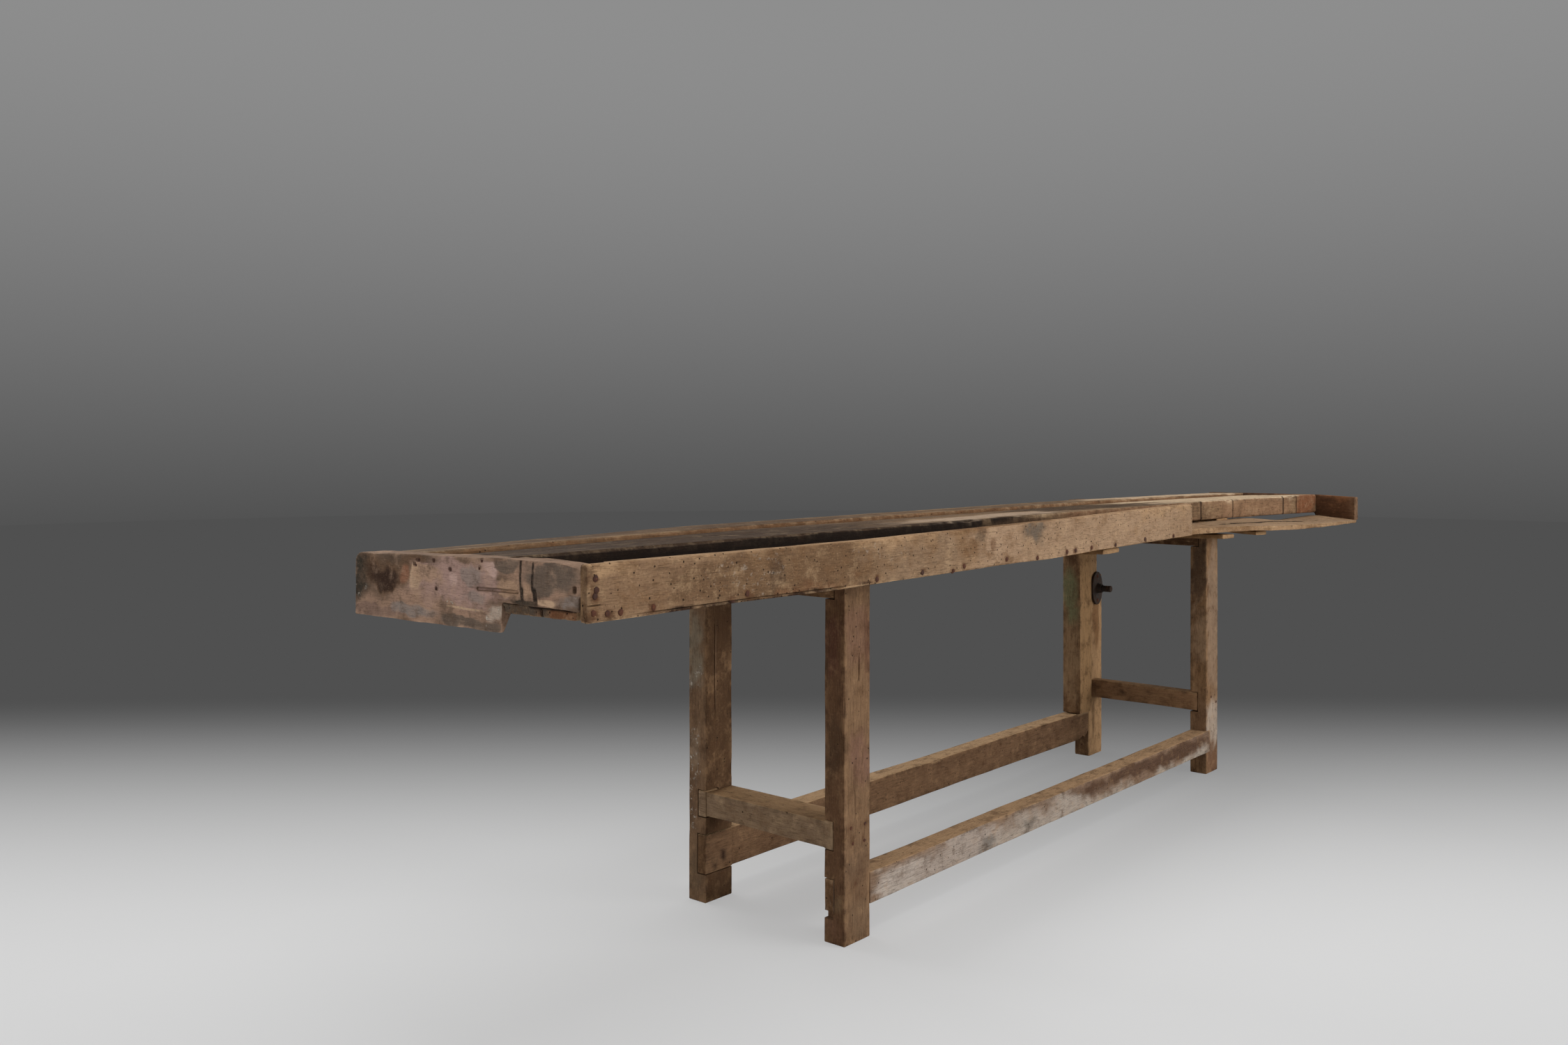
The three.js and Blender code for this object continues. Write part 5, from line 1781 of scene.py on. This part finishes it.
def thinned(place, node):
    """Feathers the underside of a floor board towards its right end, and lifts the inner board."""
    low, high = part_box(node)
    thick = high.z - side_low.z
    hanging = ramp(place[:, 0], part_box("tray_cleat_3")[1].x, RIGHT_END)
    top = high.z - (high.z - low.z - thick) * hanging**2  # the drawn board sags here already
    thinning = ramp(place[:, 0], THIN_FROM, RIGHT_END)
    place[:, 2] += THIN_BY * thinning * np.clip((top - place[:, 2]) / thick, 0, 1)
    near = ramp(place[:, 1], PLANK_BACK, TRAY_INSIDE)
    place[:, 1] += END_TAPER * (thinning * near) ** 2
    if node == INNER_BOARD:
        height, first, last = BOARD_STEP
        along = ramp(place[:, 0], first, last)
        place[:, 2] += height * near * np.minimum(1, STEP_STEEPNESS * np.sin(math.pi * along))


print("the floor thins by", 1000 * THIN_BY, "mm at its right end")

# %% Tray floor
FLOOR_CRACKS = (((1716, 752), (1748, 750)), ((1754, 751.5), (1782, 754)), ((1756, 748.6), (1856, 750)))
CRACK_WIDTH = 0.0032
FLOOR_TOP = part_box(INNER_BOARD)[1].z
END_LEVEL, END_ARRIS = 0.728, 0.7355  # heights of the boards' left ends, and of the arris above them


def floor_crack(first, last):
    """A dark line on the floor, between two pixels."""
    ends = [seen_on(pixel, ACROSS_Z, FLOOR_TOP) for pixel in (first, last)]
    half = abs(ends[1].x - ends[0].x) / 2
    return Stain((ends[0] + ends[1]) / 2, (half, CRACK_WIDTH, 0.1), rgb(*BLACK), 1.0, UP)


tray_middle = (PLANK_BACK + TRAY_INSIDE) / 2
end_grey, end_red = own(ACROSS_X, (70, 60, 51)), own(ACROSS_X, (100, 66, 45))
floor_marks_and_shade = [
    # The floor of the tray at its left: oil and dirt, and painted shade inside the tray.
    Stain((-1.2, tray_middle, FLOOR_TOP), (0.85, 0.3, 0.1), OIL_AND_SHADE_BLACK, 1.0, UP),
    Stain((LEFT_END, tray_middle, END_LEVEL), (0.1, 0.3, 0.1), end_grey, 1.0, TO_LEFT),
    Stain((LEFT_END, TRAY_INSIDE, END_LEVEL), (0.09, 0.08, 0.03), end_red, 0.9, TO_LEFT),
    # A painted shadow: a black line in the gap below the end cap's notch, across the boards' ends.
    Stain((LEFT_END, tray_middle, END_ARRIS), (0.05, 0.2, 0.003), OIL_AND_SHADE_BLACK, 1.0, TO_LEFT),
    Stain((1.2, tray_middle, FLOOR_TOP), (0.7, 0.3, 0.1), own(ACROSS_Z, (140, 116, 92)), 0.7, UP),
    *[floor_crack(*ends) for ends in FLOOR_CRACKS],
]
# Painted shade on the inner board's edge, where it stands proud of the outer board.
inner_step_shade = over_face(INNER_BOARD, TO_TRAY, (44, 33, 26), 1.0)
for node, seed, marks in (
    (INNER_BOARD, 52, [*floor_marks_and_shade, inner_step_shade]),
    (OUTER_BOARD, 53, floor_marks_and_shade),
):
    piece = reworked(node, voxel=0.0034, depth=0.0009, wave=0.08, seed=seed)
    reshaped(piece, thinned, node)
    laid(piece, lie_of_tray_floor)
    reshaped(piece, ragged, seed)
    if node == INNER_BOARD:
        reshaped(piece, tucked)
    dressed(piece, node, ALONG_X, seed, tray_finish, stains=marks)

# %% Cleats
CLEAT_DROP = 0.006  # how much deeper the cleats are than drawn


def deepened(place, node):
    """Carries the lower half of a cleat further down."""
    low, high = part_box(node)
    place[:, 2] -= CLEAT_DROP * (place[:, 2] < (low.z + high.z) / 2)


for node, seed in (("tray_cleat_1", 54), ("tray_cleat_2", 55), ("tray_cleat_3", 56)):
    piece = reworked(node, voxel=0.003, depth=0.0006, wave=0.05, seed=seed)
    laid(reshaped(piece, deepened, node), lie_of_tray_floor)
    ends = [over_face(node, TO_TRAY, (168, 134, 98), 0.8)]
    dressed(piece, node, ALONG_Y, seed, pale_finish, stains=ends)

# %% [markdown]
# ## The leg vise
# On the front right leg a wooden jaw is drawn in by an iron screw, which a loose bar turns. Jaw,
# screw and bar are bodies of their own, and every piece rides on the body that it moves with. A
# thread could be a long helix swept round a core, which makes a heavy mesh. Here it is pressed into
# the remeshed screw instead: the radius of each point drops where its place along the screw, turned
# by its angle, falls in the groove.

# %% Thread of the screw
THREAD_PITCH = 0.006
THREAD_DEPTH = 0.0018
THREAD_CORE = 0.006  # radius within which nothing is pressed in
GROOVE = (2.4, 0.7)  # how steep its walls are, and how wide the crest is
TAIL_POINT = 0.006  # length left plain at the tail
NOT_ZERO = 1e-4


def threaded(place, start, end):
    """Presses a thread into the screw between two places along it."""
    screw_low, screw_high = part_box("vise_screw")
    washer_low, washer_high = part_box("vise_washer")
    middle = np.array([screw_low.x + screw_high.x, washer_low.z + washer_high.z]) / 2
    steep, crest = GROOVE
    spoke = place[:, [0, 2]] - middle
    radius = np.linalg.norm(spoke, axis=1)
    phase = place[:, 1] / THREAD_PITCH + np.arctan2(spoke[:, 1], spoke[:, 0]) / (2 * math.pi)
    groove = np.clip(steep * np.abs(2 * (phase % 1) - 1) - crest, 0, 1)
    inside = (place[:, 1] > start) & (place[:, 1] < end) & (radius > THREAD_CORE)
    factor = np.where(inside, 1 - THREAD_DEPTH * groove / np.maximum(radius, NOT_ZERO), 1)
    place[:, [0, 2]] = middle + spoke * factor[:, None]


print("thread of", 1000 * THREAD_PITCH, "mm pitch")

# %% Vise pieces
VISE_WAVE = 0.03
VISE_SEED = 61

for node, body, run, finish, slot, voxel, depth in (
    ("vise_chop", "vise_jaw", ALONG_Z, base_finish, "base_timber", 0.003, 0.0008),
    ("chop_guide", "vise_jaw", ALONG_Y, pale_finish, "pale_timber", 0.002, 0.0003),
    ("screw_garter", "vise_jaw", ALONG_Z, pale_finish, "pale_timber", 0.0015, 0.0001),
    ("guide_pin", "vise_jaw", ALONG_X, iron_finish, "rusted_iron", 0.001, 0.0002),
    ("vise_washer", "vise_jaw", ALONG_Z, iron_finish, "rusted_iron", 0.001, 0.0002),
    ("vise_nut", "bench", ALONG_Z, iron_finish, "rusted_iron", 0.0013, 0.0005),
    ("vise_screw", "vise_screw", ALONG_Y, iron_finish, "rusted_iron", 0.0009, 0.0001),
    ("tommy_bar", "tommy_bar", ALONG_Z, iron_finish, "rusted_iron", 0.001, 0.0002),
    ("tommy_knob_upper", "tommy_bar", ALONG_Z, iron_finish, "rusted_iron", 0.0009, 0.0002),
    ("tommy_knob_lower", "tommy_bar", ALONG_Z, iron_finish, "rusted_iron", 0.0009, 0.0002),
):
    piece = reworked(node, voxel, depth, VISE_WAVE, VISE_SEED)
    if node == "vise_screw":
        reshaped(piece, threaded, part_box(node)[0].y + TAIL_POINT, FRONT_FACE)
    dressed(piece, node, run, VISE_SEED, finish, body)

# %% Nut screws and all nail heads
NUT_SCREW_INSET = 0.014
NUT_SCREW_RADIUS = 0.006

nut = bpy.data.objects["worn_vise_nut"]
nut_low, nut_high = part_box("vise_nut")
for z in (nut_low.z + NUT_SCREW_INSET, nut_high.z - NUT_SCREW_INSET):
    seat = Vector(((nut_low.x + nut_high.x) / 2, nut_low.y, z))
    _, place, normal, _ = nut.closest_point_on_mesh(seat)
    nail_heads.append((place, normal, NUT_SCREW_RADIUS))
make_nails("nails")
